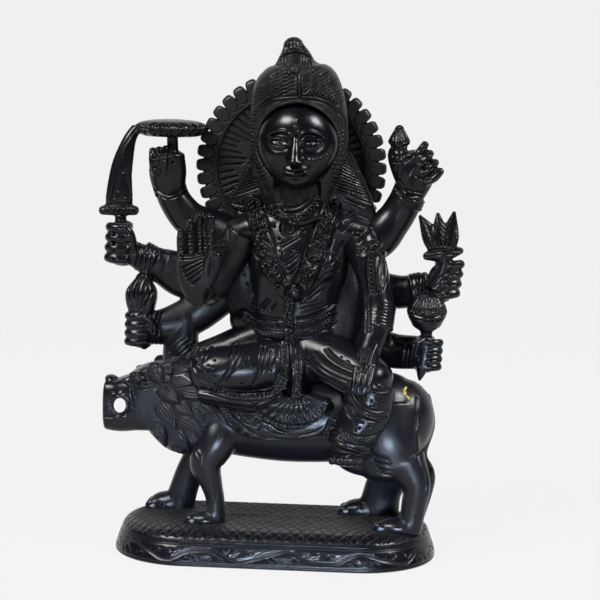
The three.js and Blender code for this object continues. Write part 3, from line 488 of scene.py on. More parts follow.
def carvePiece(name, points, tris, sheet=None, extra=None, polish=0.88, within=(-99, 99), mirrored=False):
    # Steep places get finer faces; each corner then moves along its normal by the map's height, where it faces the eye
    window = lambda p: ((p[:, 1] > within[0]) & (p[:, 1] < within[1]))
    if sheet:
        rough = normalsOf(points, tris)
        u, v, facing = onSheet(points, rough)
        stir = sheet.steepness(u, v) * (facing > 0) * window(points)
        points, tris = refined(points, tris, stir[tris].max(1) > 0.05)
    normals = softened(normalsOf(points, tris), tris, 1)
    level, paint, paintedShade = (np.zeros(len(points)) for _ in range(3))
    if sheet:
        u, v, facing = onSheet(points, normals)
        # The painted shade map is read also on faces turned a little away from the eye
        paint, paintedShade = sheet.read(u, v, sheet.paint) * (facing > 0), sheet.read(u, v, sheet.paintedShade) * step(-0.6, 0, facing)
        level = drawn["relief"] * sheet.read(u, v) * step(0.08, 0.4, facing) * window(points)
        if mirrored:  # the far side carries the same drawing
            flip = np.array([1, -1, 1])
            u, v, facing = onSheet(points * flip, normals * flip)
            level = np.where(points[:, 1] > 0, drawn["relief"] * sheet.read(u, v) * step(0.08, 0.4, facing), level)
    if extra:
        level = level + extra(points, normals)
    # How deep each point lies below its surroundings, at the reach of a stroke and at that of a fold
    calm = softened(points, tris, 10)
    fold = ((calm - points) * normals).sum(1)
    points = points + normals * level[:, None]
    stroke = softened(level[:, None], tris, 5)[:, 0] - level
    # The first value is painted shade: strokes, folds and the shade map darken the colour as if in shadow; below zero
    # it marks ridges
    values = {"hollowShade": np.clip(stroke * 3.5 + fold * 2.2 + paintedShade, -1, 1), "paint": paint,
              "polish": polish(points, normals) if callable(polish) else np.full(len(points), polish)}
    if len(tris) > mostTriangles[name]:
        points, tris, values = through(name, points, tris, [("DECIMATE", {"ratio": mostTriangles[name] / len(tris)})],
                                       values)
    mesh = meshOf(name, (points + setOff) * mm, tris, values)
    mesh.polygons.foreach_set("use_smooth", np.ones(len(mesh.polygons), bool))
    mesh.materials.append(stone)
    piece = bpy.data.objects.new(name, mesh)
    bpy.context.collection.objects.link(piece)
    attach(piece, "root")
    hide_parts(stoneNode)
    print(name, len(tris), "triangles", [round(float(v), 1) for v in (*points.min(0), *points.max(0))])
    return piece


class Wire:
    # A shader value that can be written in sums: each operator adds its Math node
    def __init__(self, tree, socket):
        self.tree, self.socket = tree, socket

    def math(self, operation, *inputs):
        # One Math node
        return self.tree.node("ShaderNodeMath", {"operation": operation}, *inputs)

    def __add__(self, other): return self.math("ADD", self, other)
    def __radd__(self, other): return self.math("ADD", other, self)
    def __sub__(self, other): return self.math("SUBTRACT", self, other)
    def __rsub__(self, other): return self.math("SUBTRACT", other, self)
    def __mul__(self, other): return self.math("MULTIPLY", self, other)
    def __rmul__(self, other): return self.math("MULTIPLY", other, self)
    def clamp(self): return self.tree.node("ShaderNodeClamp", {}, self)


class Shader:
    # A material, the nodes that are added to it and the sockets of its surface
    def __init__(self, name):
        self.material = bpy.data.materials.new(name)
        self.material.use_nodes = True
        self.tree = self.material.node_tree
        self.surface = self.tree.nodes["Principled BSDF"]

    def node(self, kind, settings, *inputs, out=0, **named):
        # Any node: its settings first, then its sockets by place or by name, and one output
        made = self.tree.nodes.new(kind)
        for key, value in settings.items():
            setattr(made, key, value)
        for key, value in [*enumerate(inputs), *named.items()]:
            self.feed(made.inputs[key], value)
        return Wire(self, made.outputs[out])

    def mix(self, share, one, other):
        # Two colours mixed by a share
        made = self.tree.nodes.new("ShaderNodeMix")
        made.data_type = "RGBA"
        for socket, value in zip((0, 6, 7), (share, one, other)):
            self.feed(made.inputs[socket], value)
        return Wire(self, made.outputs[2])

    def feed(self, socket, value):
        # A wire is linked to the socket, anything else is its value
        if isinstance(value, Wire):
            self.tree.links.new(value.socket, socket)
        else:
            socket.default_value = value

    def put(self, **values):
        # Values or wires for the surface, by socket name
        for key, value in values.items():
            self.feed(self.surface.inputs[key.replace("_", " ")], value)


stoneLook = {
    "polished": (0.0018, 0.0020, 0.0032, 1),
    "matt": (0.0140, 0.0146, 0.0175, 1),  # the greyer tone where the polish ends
    "hollowShade": (0.0010, 0.0010, 0.0012, 1),  # painted shade in the strokes, folds and shadowed recesses
    "dust": (0.034, 0.034, 0.036, 1),  # pale dust caught here and there
    "fleck": (0.55, 0.42, 0.03, 1),  # chip of yellow paint on the rump
    "gloss": 0.21,  # roughness where polished
    "dull": 0.60,
    "mirror": 0.15,  # reflection of the bare stone
    "wax": 0.24,  # share of the polish that lies over it
    "waxGloss": 0.27,
    "grain": 2600.0,
}


def stoneMaterial(look):
    # Polish, clouds and painted shade in the hollows mix the tone, the roughness and the wax; grain and smears make the
    # bump
    s = Shader("blackStone")
    place = s.node("ShaderNodeTexCoord", {}, out=3)
    hollowShade = s.node("ShaderNodeAttribute", {"attribute_name": "hollowShade"}, out=2)
    polish = s.node("ShaderNodeAttribute", {"attribute_name": "polish"}, out=2)
    cloud = s.node("ShaderNodeTexNoise", {}, Vector=place, Scale=90.0, Detail=5.0, Roughness=0.6)
    grain = s.node("ShaderNodeTexNoise", {}, Vector=place, Scale=look["grain"], Detail=3.0, Roughness=0.7)
    smear = s.node("ShaderNodeTexNoise", {}, Vector=place, Scale=420.0, Detail=4.0, Roughness=0.55, Distortion=0.8)
    # How much painted shade lies on a point, and where the value is below zero how worn a ridge is
    deep = (hollowShade * 1.5).clamp()
    worn = (hollowShade * -1.5).clamp()
    matt = (1 - polish + deep * 0.5 - worn * 0.3 + (cloud - 0.5) * 0.28).clamp()
    tone = s.mix(matt, look["polished"], look["matt"])
    # Painted shade: the tone falls to near black in strokes, folds and shadowed recesses
    tone = s.mix(deep * 0.8, tone, look["hollowShade"])
    tone = s.mix((deep * (smear - 0.42) * 2.2 * matt).clamp(), tone, look["dust"])
    paint = s.node("ShaderNodeAttribute", {"attribute_name": "paint"}, out=2)
    s.put(Base_Color=s.mix((paint * 3 - 1).clamp(), tone, look["fleck"]))
    s.put(Roughness=(look["gloss"] + matt * (look["dull"] - look["gloss"]) + (smear - 0.5) * 0.12).clamp())
    s.surface.inputs["Specular IOR Level"].default_value = look["mirror"]
    s.surface.inputs["Coat Roughness"].default_value = look["waxGloss"]
    s.put(Coat_Weight=((1 - matt * 0.85) * (1 - deep) * (0.55 + smear * 0.9) * look["wax"]).clamp())
    height = grain * (0.35 + matt * 0.5) + smear * 0.8
    s.put(Normal=s.node("ShaderNodeBump", {}, Strength=0.45, Distance=0.0002, Height=height))
    return s.material


stone = stoneMaterial(stoneLook)
print("stone ready")

plinthLook = {
    "halfLength": 61.2, "halfDepth": 31.0, "corner": 29.0,
    "profile": [(0.6, 0.0), (0.1, 0.5), (0.0, 1.4), (0.9, 4.5), (1.9, 7.4), (2.4, 8.4), (2.6, 9.2), (3.4, 10.6),
                (5.4, 11.8), (8.6, 12.6), (12.5, 13.0)],  # inset and height, from the underside up to the top's edge
    "sides": 900, "rows": 130, "topRings": 110,
    "mesh": 5.0,  # pitch of the cross-hatching on the ground, mm
    "hatch": (1.25, 0.66, 0.1, 0.3),  # lean of its cuts across and along, their width and depth
    "rules": [(8.55, 0.4, 0.2), (7.8, 0.34, 0.18), (1.3, 0.2, 0.2)],  # lines round the side: height, depth and width
    "wave": 30.0,  # length of one wave of the vine on the side, mm
    "vine": (4.5, 1.9),  # height of its middle and its swing, mm
    "vineDots": [(-0.34, 1.6), (0.36, 2.0)],  # place in a bay and rise
}


def makePlinth(look):
    # A rounded rectangle at each height of the profile, drawn in towards its middle for the top. Relief goes inwards
    # on the side and downwards on the ground: cuts are bells of the distance to a line, a vine is a sine of the run.
    w, d, radius = look["halfLength"], look["halfDepth"], look["corner"]
    profile, _ = spline(look["profile"], look["rows"])
    inset, height = profile.T
    last = inset[-1]
    inset = np.r_[inset, last + (d - last - 0.4) * np.linspace(0, 1, look["topRings"] + 1)[1:]]
    height = np.r_[height, np.full(look["topRings"], height[-1])]
    cx, cy, arc = w - radius, d - radius, radius * np.pi / 2
    stops = np.cumsum([0, 2 * cy, arc, 2 * cx, arc, 2 * cy, arc, 2 * cx, arc])
    run = np.linspace(0, stops[-1], look["sides"], endpoint=False)
    leg = np.clip(np.searchsorted(stops, run, side="right") - 1, 0, 7)
    t = run - stops[leg]
    start = np.repeat([0, 90, 180, 270], 2)[leg] * np.pi / 180
    angle = np.where(leg % 2, start + t / radius, start)
    corner = np.repeat([[1, 1], [-1, 1], [-1, -1], [1, -1]], 2, axis=0)[leg] * [cx, cy]
    slide = np.where(leg % 2, 0, t - np.diff(stops)[leg])
    edge = corner + np.stack([-np.sin(start), np.cos(start)], 1) * slide[:, None]
    out = np.stack([np.cos(angle), np.sin(angle)], 1)
    inner = np.clip((inset - radius) / (d - radius), 0, 1)[:, None, None]
    plan = edge[None] * (1 - inner * np.array([0, 1])) + out[None] * (radius - np.clip(inset, 0, radius))[:, None, None]
    x, y = plan[..., 0], plan[..., 1]
    h = height[:, None]
    s = run[None] + 0 * x
    bell = lambda gap, width: np.exp(-((gap / width) ** 2))
    line = lambda phase, width: bell(np.mod(phase + 0.5, 1) - 0.5, width)
    side = 1 - step(8.7, 9.1, h)
    ground = step(12.0, 12.9, h)
    # the ground: two families of slanting cuts, uneven as a hand sets them
    wobble = 0.3 * np.sin(x * 0.31) + 0.25 * np.sin(y * 0.47 + 1) + 0.2 * np.sin(x * 0.9 + y * 0.6)
    across, along, wide, depth = look["hatch"]
    hatch = np.maximum(line((across * x + along * y + wobble) / look["mesh"], wide),
                       line((across * x - along * y - wobble) / look["mesh"], wide))
    # the side: two lines below the shoulder, a vine, comma leaves in its bays and dots
    rules = sum(deep * bell(h - level, width) for level, deep, width in look["rules"])
    rest, swing = look["vine"]
    bend = 2 * np.pi * s / look["wave"]
    middle = rest + swing * np.sin(bend) + 0.35 * np.sin(2.3 * bend + 1)
    vine = 0.5 * bell((h - middle) / np.sqrt(1 + (swing * 2 * np.pi / look["wave"] * np.cos(bend)) ** 2), 0.33)
    twin = 0.3 * bell(h - middle - 0.95, 0.22) * step(-0.2, 0.5, np.sin(bend + 0.6))
    bay = np.mod(bend / np.pi - 0.5, 1) - 0.5  # place within a bay of the vine, from its middle
    inBay = (h - rest) * -np.sign(np.sin(bend)) + 0.4
    half = look["wave"] / 2
    comma = lambda at, rise, slant: (0.45 * bell((bay - at) * half - slant * (inBay - rise), 0.3)
                                     * bell(inBay - rise, 0.75))
    leaves = np.maximum(np.maximum(comma(-0.18, 0.9, 1.6), comma(0.06, 1.3, 1.2)), comma(0.26, 0.7, 1.9))
    dots = np.maximum(*(0.5 * bell(np.hypot((bay - at) * half, inBay - rise), 0.42) for at, rise in look["vineDots"]))
    drawnVine = np.maximum(np.maximum(vine, twin), np.maximum(leaves, dots))
    carved = (rules + drawnVine * step(1.6, 2.2, h) * (1 - step(6.9, 7.5, h))) * side
    x, y = x - out[None, :, 0] * carved, y - out[None, :, 1] * carved
    sag = 0.08 * np.sin(x * 0.4) * np.sin(y * 0.5 + 1) * ground
    z = h - depth * hatch * step(9.6, 11, h) * (1.3 - 0.5 * ground) + sag
    points, tris = skin(np.stack([x, y, z], 2))
    points = points + [drawn["middle"], 0, drawn["ground"] - drawn["plinth"]]
    shine = lambda p, n: np.clip(0.9 - 0.75 * step(-0.6, 0.3, p[:, 2]) * step(-28, -10, p[:, 1]), 0, 1)
    s = Sheet(110, 470, 450, 580)
    # Painted shade on the back of the plinth's ground under the lion, fading towards the front
    s.darken([(150, 504), (290, 506), (420, 512)], 24, 0.7)
    return carvePiece("plinth", points, tris, s, polish=shine)


lionLook = {
    "trunk": [[-30, 0, 43, 15, 12.5], [-16, 0, 40.8, 16.3, 15], [4, 0, 38.5, 16.1, 15.5], [24, 0, 39, 16.2, 15],
              [40, 0, 40.8, 17.4, 15.5], [48.6, 0, 40, 15.6, 13.6]],
    "neck": [[-45, -0.5, 45.4, 14, 9], [-38, 0, 44, 18.4, 12], [-30, 0, 42.4, 19.1, 14], [-20, 0, 41, 17, 14.5]],
    "legs": [
        [[-18, -6.8, 39, 9.4, 7.2], [-20.4, -11, 31, 7.4, 6.5], [-24.4, -12, 23, 6.3, 5.4],
         [-22.3, -11.7, 15, 4.2, 4.6], [-20.8, -11.3, 8.5, 3.6, 4.2], [-20.8, -11.3, -1, 4, 4.4]],
        [[-24, 7, 36, 9.5, 7], [-27.6, 8.5, 24, 7.4, 5.6], [-33.8, 9.8, 13.5, 5.6, 5], [-38.4, 10.3, -1, 6, 4.8]],
        [[50, -11, 26, 9, 6.5], [55, -12, 17.4, 5.6, 5], [54.4, -12, 9.7, 4.8, 4.6], [53, -12, -1, 4.4, 4.6]],
        [[43, 5, 44, 13, 10], [43.5, 9.5, 30, 12.5, 8], [44.4, 11, 18, 8.8, 6], [41.4, 12, 9, 7.4, 5],
         [39.5, 12, -1, 8.6, 4.8]],
    ],
    "thigh": [[42, -5, 45, 13, 10], [43, -9.5, 34, 13, 8.5], [45.5, -11, 24, 11.6, 7]],
    "tail": [[56, 1.5, 49, 3.4, 3.4], [58.6, 2, 38, 2.8, 3], [56, 2, 26.5, 2.6, 2.6], [58.4, 2, 19, 3.4, 3.4],
             [58.2, 2, 12.5, 3, 3.4], [54.4, 1, -1, 2.8, 3]],
    "paws": [[-24.6, -12.3, 1.2, 6.2, 4.8, 3.5], [-42, 10.4, 1.5, 7.6, 5.2, 4.9], [48.2, -13, 1.2, 7.6, 5, 3.6],
             [32.8, 12, 1.4, 7.2, 5, 4.4]],
}


def lionBody(look):
    # Limbs for trunk, neck, legs, thigh and tail; a paw is an egg with three more for its toes
    forms = [limb(look["trunk"], sides=64, ends=(0, 1), cap=0.9), limb(look["neck"], sides=48),
             limb(look["thigh"], sides=40, ends=(0, 1)), limb(look["tail"], sides=20),
             egg(33, -8, 24.2, 9.5, 6.5, 4.4, tilt=14)]
    forms += [limb(leg, sides=36) for leg in look["legs"]]
    for x, y, z, halfX, halfY, halfZ in look["paws"]:
        forms.append(egg(x, y, z, halfX, halfY, halfZ))
        forms += [egg(x - 0.85 * halfX, y + n * halfY * 0.58, 0.6, 2.5, halfY * 0.3, 3.1) for n in (-1, 0, 1)]
    s = Sheet(150, 370, 445, 530)
    # thigh against tail
    s.cut([(417, 398), (416.5, 420), (416.3, 445), (420, 463), (427, 476), (426, 494)], 1.1, 0.5, 0)
    # creases of the groin
    s.cuts([[(372, 453), (380, 457), (389, 460)], [(374, 459), (382, 463), (390, 465)],
            [(377, 466), (384, 470), (391, 471)], [(379, 472), (385, 475), (391, 476)]], width=1.2, depth=0.5)
    s.cuts([[(186, 507), (191, 512)], [(189, 505), (195, 509)], [(183, 511), (188, 516)], [(376, 517), (382, 514)],
            [(378, 521), (386, 517)]], width=0.9, depth=0.45)
    s.cuts([[(199, 449), (203, 456), (202, 464)], [(196, 452), (199, 459)]], width=1.0, depth=0.3)
    s.stain([(406, 387), (404.8, 390.5), (405.4, 393.6), (409.5, 398)], 1.1)
    return makePiece("lionBody", forms, s, rounds=8, mirrored=True, polish=0.74)


headLook = {
    "skull": [[-64.3, -1, 42.4, 9.6, 6.4], [-59, -1, 42.4, 10.2, 7.6], [-53, -1, 43.6, 11, 8.6],
              [-47, -0.5, 45, 13.6, 9.6], [-40, 0, 44.5, 16, 11]],
    "mouth": (-59.2, 42.2, 2.3, 2.8),  # middle of the dish round the bore, and half sizes of the bore
    "bore": (119.8, 405.2),  # its place on the sheet
    "mane": [  # leaves from the back row to the front: root, tip and half width on the sheet
        (196, 396, 216, 401, 5.5), (206, 404, 200, 438, 6), (214, 402, 206, 426, 4.5), (190, 405, 209, 413, 5.5),
        (172, 349, 198, 357, 5.5), (178, 366, 207, 382, 6), (180, 390, 212, 395, 7), (192, 412, 205, 422, 4.5),
        (165, 358, 185, 351, 5), (178, 418, 203, 431, 7.5), (183, 433, 201, 443, 6), (175, 402, 193, 415, 6.5),
        (170, 443, 187, 460, 6), (166, 378, 193, 385, 6.5), (165, 368, 190, 371, 5.5), (166, 430, 191, 449, 8),
        (157, 361, 182, 358, 5.5), (160, 386, 180, 403, 7), (159, 404, 177, 427, 7.5), (155, 424, 167, 446, 5.5),
        (150, 434, 160, 447, 4)],
}


def lionHead(look):
    # A boxy limb for the skull, eggs and locks on it, the bore cut out, and the mane's leaves in relief
    forms = [limb(look["skull"], sides=56, square=3.6, ends=(1, 0), cap=0.22), limb(lionLook["neck"], sides=48),
             egg(-62.6, -1, 52.2, 2.6, 3.6, 1.6, tilt=8)]
    for side in (-1, 1):
        forms += [egg(-51, side * 7.2 - 1, 54.2, 3.8, 2.8, 2.2, tilt=22),
                  lock([-46, side * 7.4, 59], [-40, side * 11.4, 51], [-0.3, side * 0.95, 0.1], 3.4, 3.2)]
        forms.append(limb([[-58.6, side * 7.2 - 1, 47.2, 2.6, 1.3], [-55.6, side * 7.9 - 1, 43.4, 1.7, 1.2],
                           [-57.6, side * 7.6 - 1, 39.2, 1.5, 1.1]], ends=(1, 1), sides=20))
    for k in range(9):  # locks along the crest
        x = -45 + 2.6 * k
        forms.append(lock([x, (-1) ** k * 1.8, 57 + 2.2 * np.sin(k * 0.5)],
                          [x + 8.5, (-1) ** k * 3.4, 60.5 + 1.2 * np.sin(k * 0.5)], [0, (-1) ** k * 0.25, 1], 2.6, 1.2,
                          0.4, lobes=20))
    x, z, halfX, halfZ = look["mouth"]
    ends = [fromSheet(*look["bore"], y) for y in (-25, 25)]  # the bore runs along the line of sight
    bore = limb([[*end, halfX, halfZ] for end in ends], sides=40, facing=(0, 0, 1))
    dish = [egg(x, side * 10.4 - 1, z, 3.6, 4.2, 4.4, rows=30, sides=40) for side in (-1, 1)]
    s = Sheet(98, 345, 225, 470)
    s.cuts([[(124, 380), (130, 388), (132.5, 397), (133.5, 408)], [(127, 380), (133, 388), (135.5, 397)]], width=1.1,
           depth=0.5, taper=0.3)
    s.cuts([[(113, 392), (118, 395), (124, 396)], [(110, 399), (110, 405), (113, 412), (119, 415), (126, 412)]],
           width=1.1, depth=0.3)
    s.between([(126, 380), (134, 375)], [(150, 373), (158, 364)], 8, width=0.9, depth=0.42)  # brow
    s.cuts([[(138, 385), (143, 381), (150, 381), (155, 385)], [(139, 387), (145, 389), (153, 387)]], width=1.0,
           depth=0.45)
    s.dots([(146.5, 385), (116, 378), (119, 377)], 1.3, 0.5)
    s.cuts([[(104, 408), (109, 407.5)], [(105, 417), (113, 418)]], width=0.9, depth=0.4)
    s.cut([(119.6 + 11 * np.cos(a), 405.3 + 11.4 * np.sin(a)) for a in np.linspace(-1.0, 3.6, 18)], 1.0, 0.35, 0.3)
    for leaf in look["mane"]:
        s.leaf(*leaf)
    shine = lambda p, n: 0.85 - 0.45 * step(-52, -46, p[:, 0])
    return makePiece("lionHead", forms, s, cuts=[bore, *dish], rounds=2, mirrored=True, polish=shine)


legLook = {
    "foldedThigh": [[14, -2, 63.5, 10.5, 10], [1, -7, 60.5, 10.2, 9.5], [-10, -10, 59, 9.8, 9.4],
                    [-20, -11, 58.3, 9.2, 9], [-25.2, -11.4, 58, 8, 8]],
    "foldedShin": [[-24, -9.8, 50, 5.6, 6.6], [-8, -12.2, 47.2, 4.8, 6], [7, -13.5, 46.5, 4.4, 5.5],
                   [13, -14, 47, 3.4, 4.5]],
    "thigh": [[10, -1, 66, 10, 9.5], [22, -7, 63.5, 9.6, 9.3], [32, -13, 60, 9.3, 9], [38, -15.5, 56.4, 9, 8.8]],
    "shin": [[38, -15.5, 56, 9, 8.6], [36.2, -17.5, 47, 9.4, 8], [32.8, -18.8, 38.5, 8.6, 7.4],
             [30, -19.5, 29.5, 6.9, 6.3]],
    "drape": [[-2, 2, 70.5, 8, 7], [-12, 1, 66.8, 7.6, 7], [-20, 0, 63.4, 7.2, 7], [-30, -1, 59.8, 6.6, 7]],
    "hem": [[-27, -14.4, 50, 2, 2.6], [-15, -17.8, 49, 2, 2.4], [-3, -18.3, 48.6, 2, 2.4], [2.6, -17.2, 53, 1.8, 1.9],
            [3.4, -14.6, 64, 1.8, 1.9]],
}


def legStrokes():
    # Strokes as they are seen from the front, in squares of the sheet
    s = Sheet(185, 335, 400, 470)
    # bands round the folded thigh
    pair = dict(width=1.15, depth=0.5, taper=0.25)
    s.cuts([[(233.8, 345), (233.5, 355), (228.8, 367), (219, 384)],
            [(239.2, 345), (238.6, 355), (234.6, 367), (225.5, 381)],
            [(261.5, 346), (260.8, 358), (258.6, 371), (253, 385)], [(265.4, 347), (264.4, 361), (260.5, 376)],
            [(212, 347), (208.5, 353), (205, 361)], [(270.5, 350), (270, 361), (267.5, 372)]], **pair)
    s.cuts([[(215, 349), (210.5, 357)], [(273.5, 350), (273, 358)]], width=0.9, depth=0.3)
    s.dots([(214.8, 360), (208, 365.6), (212.5, 366.9), (214.8, 377), (241.9, 384), (271.3, 370), (247, 358.5),
            (243.6, 366.3), (249.4, 365), (222, 390)], 0.95, 0.6)
    # beaded hem round the thigh, between two lines
    hem = [(284.5, 344), (284.8, 362), (284.3, 378), (279.5, 387.5), (270, 393.5), (256, 396), (240, 396), (226, 393.5),
           (212, 388)]
    s.band(hem, 4.0, 0.25)
    s.cuts([[(280, 344), (280.4, 362), (279.5, 376), (275.5, 384), (267, 389), (255, 391.5), (240, 391.5), (227, 389.5),
             (214, 384.5)],
            [(289, 346), (289.3, 364), (289, 381), (283, 391.5), (272, 398), (256, 400.7), (240, 400.5), (225, 398),
             (211, 392.5)]],
           width=1.1, depth=0.5, taper=0)
    s.beads(hem, 4.6, 1.5, 0.5)
    s.beads([(287.6, 346), (287.6, 378), (279, 391.5), (256, 399), (226, 396.5)], 4.6, 0.7, 0.3)
    # the knee's wrapped end
    s.between([(193, 352), (198, 347)], [(200, 366), (211, 351)], 5, width=0.9, depth=0.4)
    s.cuts([[(190, 349), (196, 361), (205, 371)], [(194, 368), (200, 378), (207, 384)]], width=1.0, depth=0.4)
    s.dots([(201, 352), (204, 348.5), (198, 357)], 0.9, 0.4)
    # sash that hangs over the lap
    s.cuts([[(293.6, 350), (293.9, 375), (294, 397)], [(303.9, 352), (304, 375), (303.8, 397)]], width=1.2, depth=0.6,
           taper=0)
    s.cuts([[(296, 360), (296.3, 395)], [(301.6, 360), (301.4, 395)]], width=0.7, depth=0.25, taper=0)
    for v in (357, 367.5, 376.3, 385, 393):
        s.bead(298.8, v, 2.0, 0.4, 0.9)
        s.dots([(298.8, v)], 0.8, 0.5)
    s.cuts([[(281, 402), (292, 404), (305, 403)], [(283, 405), (294, 406.5), (305, 405.5)]], width=0.8, depth=0.35)
    # pleats spread as a fan: fine lines from the lap to the rim
    hub = np.array([296.0, 391.0])
    for k in range(60):
        a = np.radians(156 - 144 * k / 59)
        way = np.array([np.cos(a) * 1.35, np.sin(a)])
        near, far, width, depth = (0.42, 0.93, 0.75, 0.3) if k % 5 else (0.3, 1.0, 1.15, 0.55)
        s.cut([hub + way * 33 * near, hub + way * 33 * far], width, depth, 0.2)
    rim = [hub + np.array([np.cos(a) * 1.35, np.sin(a)]) * 34.5 for a in np.radians(np.linspace(160, 8, 14))]
    s.cut(rim, 1.2, 0.5, 0)
    # bands round the hanging thigh, from the lap to the knee
    s.cuts([[(315, 353), (322, 363), (334, 371), (349, 377), (361, 380)],
            [(311, 357), (319, 367.5), (331, 375.5), (347, 382)], [(325, 350), (332, 359), (345, 367), (358, 372)],
            [(328, 349), (335, 357), (348, 365), (360, 369)], [(306, 361), (318, 373), (332, 381), (345, 387)]], **pair)
    s.bead(347.3, 363, 1.9, 0.35, 0.9)
    s.dots([(347.3, 363), (316.5, 359.4), (338, 362.5), (329, 379), (341, 357)], 0.9, 0.5)
    s.cuts([[(319, 381), (330, 386), (342, 389)], [(323, 390), (334, 391), (344, 391)]], width=1.0, depth=0.35)
    # the hanging shin: bands, dots and a jewelled border
    s.cuts([[(366, 385), (374, 390), (385, 391), (394, 387)],
            [(347, 390), (352, 402), (361, 411), (374, 417), (387, 417)],
            [(345, 398), (350, 407), (359, 415), (371, 421), (384, 421)],
            [(343.5, 404), (347, 412), (354, 418.5), (364, 423)],
            [(354, 392), (358, 400), (366, 407), (377, 411), (389, 410)]], **pair)
    s.dots([(371.9, 400.8), (374.5, 406), (371, 406.5), (355, 424.5), (359.4, 428.5), (355.5, 430), (369, 427),
            (382, 399), (364, 397)], 1.0, 0.6)
    border = [(341, 430), (350, 434.5), (361, 437), (372, 436.5), (380, 433)]
    under = [(339, 437.5), (349, 442.5), (360, 445), (371, 444.5), (378, 441)]
    s.cuts([border, under], width=1.1, depth=0.55, taper=0)
    s.ladder(border, under, 3.4, width=0.8, depth=0.4, taper=0.2)
    s.beads([(340, 434), (350, 438.6), (361, 441), (372, 440.5), (379, 437)], 3.4, 1.1, 0.35)
    # toes
    s.cuts([[(346, 458), (351, 455)], [(352.6, 460), (356, 455.5)], [(359, 461), (361, 456)], [(365, 461), (366, 456)]],
           width=0.9, depth=0.45)
    s.dots([(349.4, 455.5), (356, 456), (361.8, 456), (367, 455.5)], 0.8, 0.35)
    # folds that fall behind the shin
    s.between([(372, 447), (382, 452)], [(372, 466), (390, 471)], 5, width=1.1, depth=0.4)
    return s


def seatedLegs(look):
    # Limbs for both legs, the drape and the hem, and a fan of thin limbs that fall from the lap
    forms = [limb(look["foldedThigh"], sides=64, ends=(0, 1)), limb(look["foldedShin"], ends=(1, 1)),
             limb(look["thigh"], sides=64, ends=(0, 1)), limb(look["shin"], sides=64), limb(look["drape"], sides=36),
             limb(look["hem"], sides=24), egg(29.4, -22.5, 29.2, 7.2, 6.5, 3.1)]
    forms += hoops([30.8, -19.2, 34], [-0.3, -0.1, -1], 8.6, 7.8, 2, 2.0, 1.0)
    forms += hoops([35.4, -17.8, 46], [-0.45, -0.1, -1], 9.8, 8.4, 1, 2, 0.8)
    forms += [egg(29.4 + n * 2.6, -27.4 + 0.35 * n * n, 29, 1.45, 2.6, 1.9) for n in (-2, -1, 0, 1, 2)]
    forms += [limb([[4.4, -10.5, 70, 1.9, 1.9], [4.4, -15.6, 61.5, 2, 1.9], [4.4, -17, 53, 2, 1.9]], square=3),
              limb([[10, -10.5, 66, 1.9, 1.9], [10, -15.6, 58, 2, 1.9], [10, -17, 50, 2, 1.9]], square=3)]
    for i in range(12):
        angle = np.radians(-165 + 150 * i / 11)
        at = lambda share, y, half, deep: [7.4 + 15.5 * share * np.cos(angle), y, 52 + 14.2 * share * np.sin(angle),
                                           half, deep]
        forms.append(limb([at(0.2, -14.4, 0.7, 3), at(0.7, -15.8, 1.5, 2.8), at(1, -16.2, 1.9, 2.4)], sides=14))
    return makePiece("seatedLegs", forms, legStrokes(), rounds=2)


def saddleCloth():
    # A skin over the lion's trunk: angle round it and place along it, trimmed to the cloth's outline
    s = np.array(lionLook["trunk"], float)
    u, v = np.linspace(0, 1, 150), np.linspace(-1, 1, 240)
    x = -25.5 + 52.5 * u
    path, _ = spline(s, 400)
    size = np.stack([np.interp(x, path[:, 0], path[:, k]) for k in (2, 3, 4)], 1)
    hem = 33.5 + 16 * np.clip(np.abs(u - 0.56) / 0.56, 0, 1) ** 3.2
    low = np.arcsin(np.clip((hem - size[:, 0]) / (size[:, 1] + 1.2), -0.98, 0.98))
    turn = np.pi / 2 + (np.pi / 2 - low)[:, None] * v
    surface = lambda lift: np.stack([x[:, None] + 0 * turn, -(size[:, 2:] + lift) * np.cos(turn),
                                     size[:, :1] + (size[:, 1:2] + lift) * np.sin(turn)], 2)
    loop = np.concatenate([surface(1.5), surface(-2.5)[:, ::-1]], 1)
    s = Sheet(200, 395, 345, 455)
    outer = [(216, 400), (221, 412), (229, 425), (243, 438), (258, 445), (275, 448), (298, 448.5), (320, 446),
             (331, 439), (337, 424)]
    inner = [(226, 400), (230, 410), (238, 421), (250, 431.5), (262, 437), (277, 440), (298, 440.5), (316, 438),
             (324, 432), (329, 420)]
    s.band([((a + c) / 2, (b + d) / 2) for (a, b), (c, d) in zip(outer, inner)], 4.6, 0.45)
    s.cuts([outer, inner], width=1.1, depth=0.55, taper=0)
    s.ladder(outer, inner, 3.6, width=0.8, depth=0.45, taper=0.1)
    s.beads([((a + c) / 2, (b + d) / 2) for (a, b), (c, d) in zip(outer, inner)], 7.2, 1.6, 0.4)
    s.between([(231, 405), (243, 411), (256, 412)], [(243, 421), (252, 425), (262, 428)], 6, width=0.8, depth=0.32)
    s.cuts([[(258, 424), (263, 421), (268, 424)], [(258, 430), (262, 426), (268, 430)],
            [(274, 432), (282, 434.5), (292, 435.5)], [(300, 435.5), (312, 433), (322, 427)],
            [(268, 418), (276, 428), (288, 433)]], width=0.9, depth=0.4)
    s.dots([(246, 415), (248.5, 420), (245, 421.3), (252, 417), (256, 420)], 1.1, 0.55)
    return makePiece("saddleCloth", [skin(loop)], s, mirrored=True)


